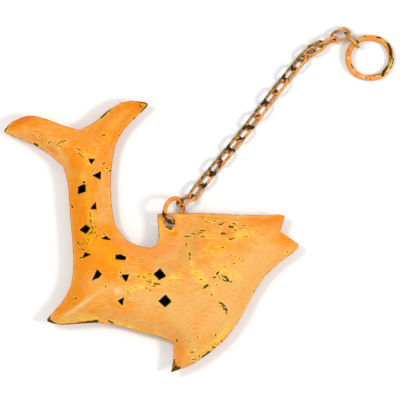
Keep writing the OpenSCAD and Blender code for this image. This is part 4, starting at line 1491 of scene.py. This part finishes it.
# %% [markdown]
# ## Painted wire
# The chain was painted together with the fish, in place, so the paint is thin and missed the
# places where two wires touch. There the iron is black. The rest is a dull peach, lighter on top
# as a painted highlight and deeper on the sides as painted shade, with olive where the paint is
# thinnest.

# %% Painted wire materials
WIRE_MASKS = ["side", "light", "rub", "bare"]
CHAIN_PEACH = srgb("#E89C50")
CHAIN_OLIVE = srgb("#94702C")
RING_ORANGE = srgb("#E88E30")
RING_YELLOW = srgb("#CEA844")
# Lighter colour on tops and in patches: painted highlight
WIRE_HIGHLIGHT = srgb("#ECB07A")
# Deeper colour low on a wire's sides: painted shade
WIRE_SIDE_SHADE = srgb("#CC7422")
WIRE_BLACK = srgb("#171206")
WIRE_BROWN = srgb("#5A4412")
WIRE_BLOTCH = 1.3 * MM
WIRE_PATCHY = 2.4 * MM
WIRE_GRIT = 0.45 * MM
WIRE_ROUGH = 0.3
WIRE_ROUGHER = 0.25
WIRE_SIDE_SHADE_SHARE = 0.6
WIRE_HIGHLIGHT_STRENGTH = 2.4
WIRE_HIGHLIGHT_COAT = (0.2, 1.0)
WIRE_BARE_STRENGTHS = (1.7, 0.8)
WIRE_BARE_STEP = (0.4, 0.66)
WIRE_RUST_COAT = (0.45, 0.65)
# The blotches' values where the under colour starts to show, and how far past them it is full
CHAIN_UNDER_FROM = 0.47
RING_UNDER_FROM = 0.68
UNDER_STEP = 0.25


def painted_wire(name, top, under, under_from):
    """Thin paint on wire: the top colour, deeper on the sides as painted shade and lighter on tops
    and in patches as painted highlights, over the under colour where blotches of noise reach the
    given level or the wire is rubbed, and bare iron where the stored mask says."""
    material, tree = new_material(name)
    mask = stored_masks(tree, WIRE_MASKS)
    blotches = noise(tree, WIRE_BLOTCH, detail=4)
    grit = noise(tree, WIRE_GRIT, detail=4, roughness=0.65)
    # Painted shade: deeper colour low on the sides
    side = add(tree, "Math", [mask["side"], WIRE_SIDE_SHADE_SHARE], operation="MULTIPLY")
    colour = add(tree, "Mix", {0: side, 6: top, 7: WIRE_SIDE_SHADE}, 2, data_type="RGBA")
    patches = noise(tree, WIRE_PATCHY)
    # Painted highlights: lighter colour on the tops and in patches
    light = broken_up(tree, mask["light"], [patches], [WIRE_HIGHLIGHT_STRENGTH])
    colour = laid_over(tree, colour, WIRE_HIGHLIGHT, light, *WIRE_HIGHLIGHT_COAT)
    worn = add(tree, "Math", [blotches, mask["rub"]], operation="ADD")
    colour = laid_over(tree, colour, under, worn, under_from, under_from + UNDER_STEP)

    bare = broken_up(tree, mask["bare"], (grit, blotches), WIRE_BARE_STRENGTHS)
    bare = add(tree, "MapRange", [bare, *WIRE_BARE_STEP], interpolation_type="SMOOTHSTEP")
    iron = laid_over(tree, WIRE_BLACK, WIRE_BROWN, grit, *WIRE_RUST_COAT)
    colour = add(tree, "Mix", {0: bare, 6: colour, 7: iron}, 2, data_type="RGBA")
    height = add(tree, "Math", [grit, bare], operation="SUBTRACT")
    height = add(tree, "Math", [height, PAINT_T], operation="MULTIPLY")
    rough = add(tree, "Math", [grit, WIRE_ROUGHER, WIRE_ROUGH], operation="MULTIPLY_ADD")
    finish_material(tree, height, {"Base Color": colour, "Roughness": rough, **SATIN})
    return material


chain_paint = painted_wire(
    "oil_paint_on_chain_wire", CHAIN_PEACH, CHAIN_OLIVE, CHAIN_UNDER_FROM,
)
ring_paint = painted_wire("oil_paint_on_ring_wire", RING_ORANGE, RING_YELLOW, RING_UNDER_FROM)
for link in links:
    link.data.materials.append(chain_paint)
for ring in rings:
    ring.data.materials.append(ring_paint)
print("wire paint has", len(chain_paint.node_tree.nodes), "nodes")

# %% [markdown]
# ## Floor and light
# The floor is plain white card. The photograph has two soft shadows, one to the left and a
# weaker one to the right, so two area lights stand on opposite sides, and an even white
# surround fills the shadows.

# %% Floor and light
FLOOR_HALF = 1.2
FLOOR_WHITE = srgb("#F4F4F3")
CARD_ROUGH = 0.85
SURROUND = 0.70
SURROUND_TINT = (0.97, 0.99, 1, 1)
LIGHT_SIDE = 0.22
LIGHT_DISTANCE = 1.0
# Azimuth and elevation in degrees, power in watts and colour
LIGHTS = [(-8, 45, 4.0, (1, 0.968, 0.958)), (150, 58, 3.2, (0.96, 0.985, 1))]

floor_mesh = bpy.data.meshes.new("floor")
corners = [(x * FLOOR_HALF, y * FLOOR_HALF, 0) for x, y in ((-1, -1), (1, -1), (1, 1), (-1, 1))]
floor_mesh.from_pydata(corners, [], [(0, 1, 2, 3)])
floor = bpy.data.objects.new("floor", floor_mesh)
bpy.context.collection.objects.link(floor)
floor_material, floor_tree = new_material("white_card")
card = add(floor_tree, "BsdfPrincipled", {"Base Color": FLOOR_WHITE, "Roughness": CARD_ROUGH})
add(floor_tree, "OutputMaterial", {"Surface": card})
floor_mesh.materials.append(floor_material)

world = bpy.data.worlds.new("surround")
world.use_nodes = True
world.node_tree.nodes["Background"].inputs["Color"].default_value = SURROUND_TINT
world.node_tree.nodes["Background"].inputs["Strength"].default_value = SURROUND
bpy.context.scene.world = world
bpy.context.scene.view_settings.view_transform = "Standard"

for number, (azimuth, elevation, power, tint) in enumerate(LIGHTS, 1):
    lamp_data = bpy.data.lights.new(f"soft_light_{number}", "AREA")
    lamp_data.size = LIGHT_SIDE
    lamp_data.energy = power
    lamp_data.color = tint
    lamp = bpy.data.objects.new(lamp_data.name, lamp_data)
    around, up = math.radians(azimuth), math.radians(elevation)
    level = math.cos(up)
    direction = Vector((level * math.cos(around), level * math.sin(around), math.sin(up)))
    lamp.location = direction * LIGHT_DISTANCE
    lamp.rotation_euler = direction.to_track_quat("Z", "Y").to_euler()
    bpy.context.collection.objects.link(lamp)
print("two lights and an even surround")

# %% [markdown]
# ## Finish
# The dressed fish keeps the imported model's size. Last, the scene is brought up to date.

# %% Finish
bpy.context.view_layer.update()
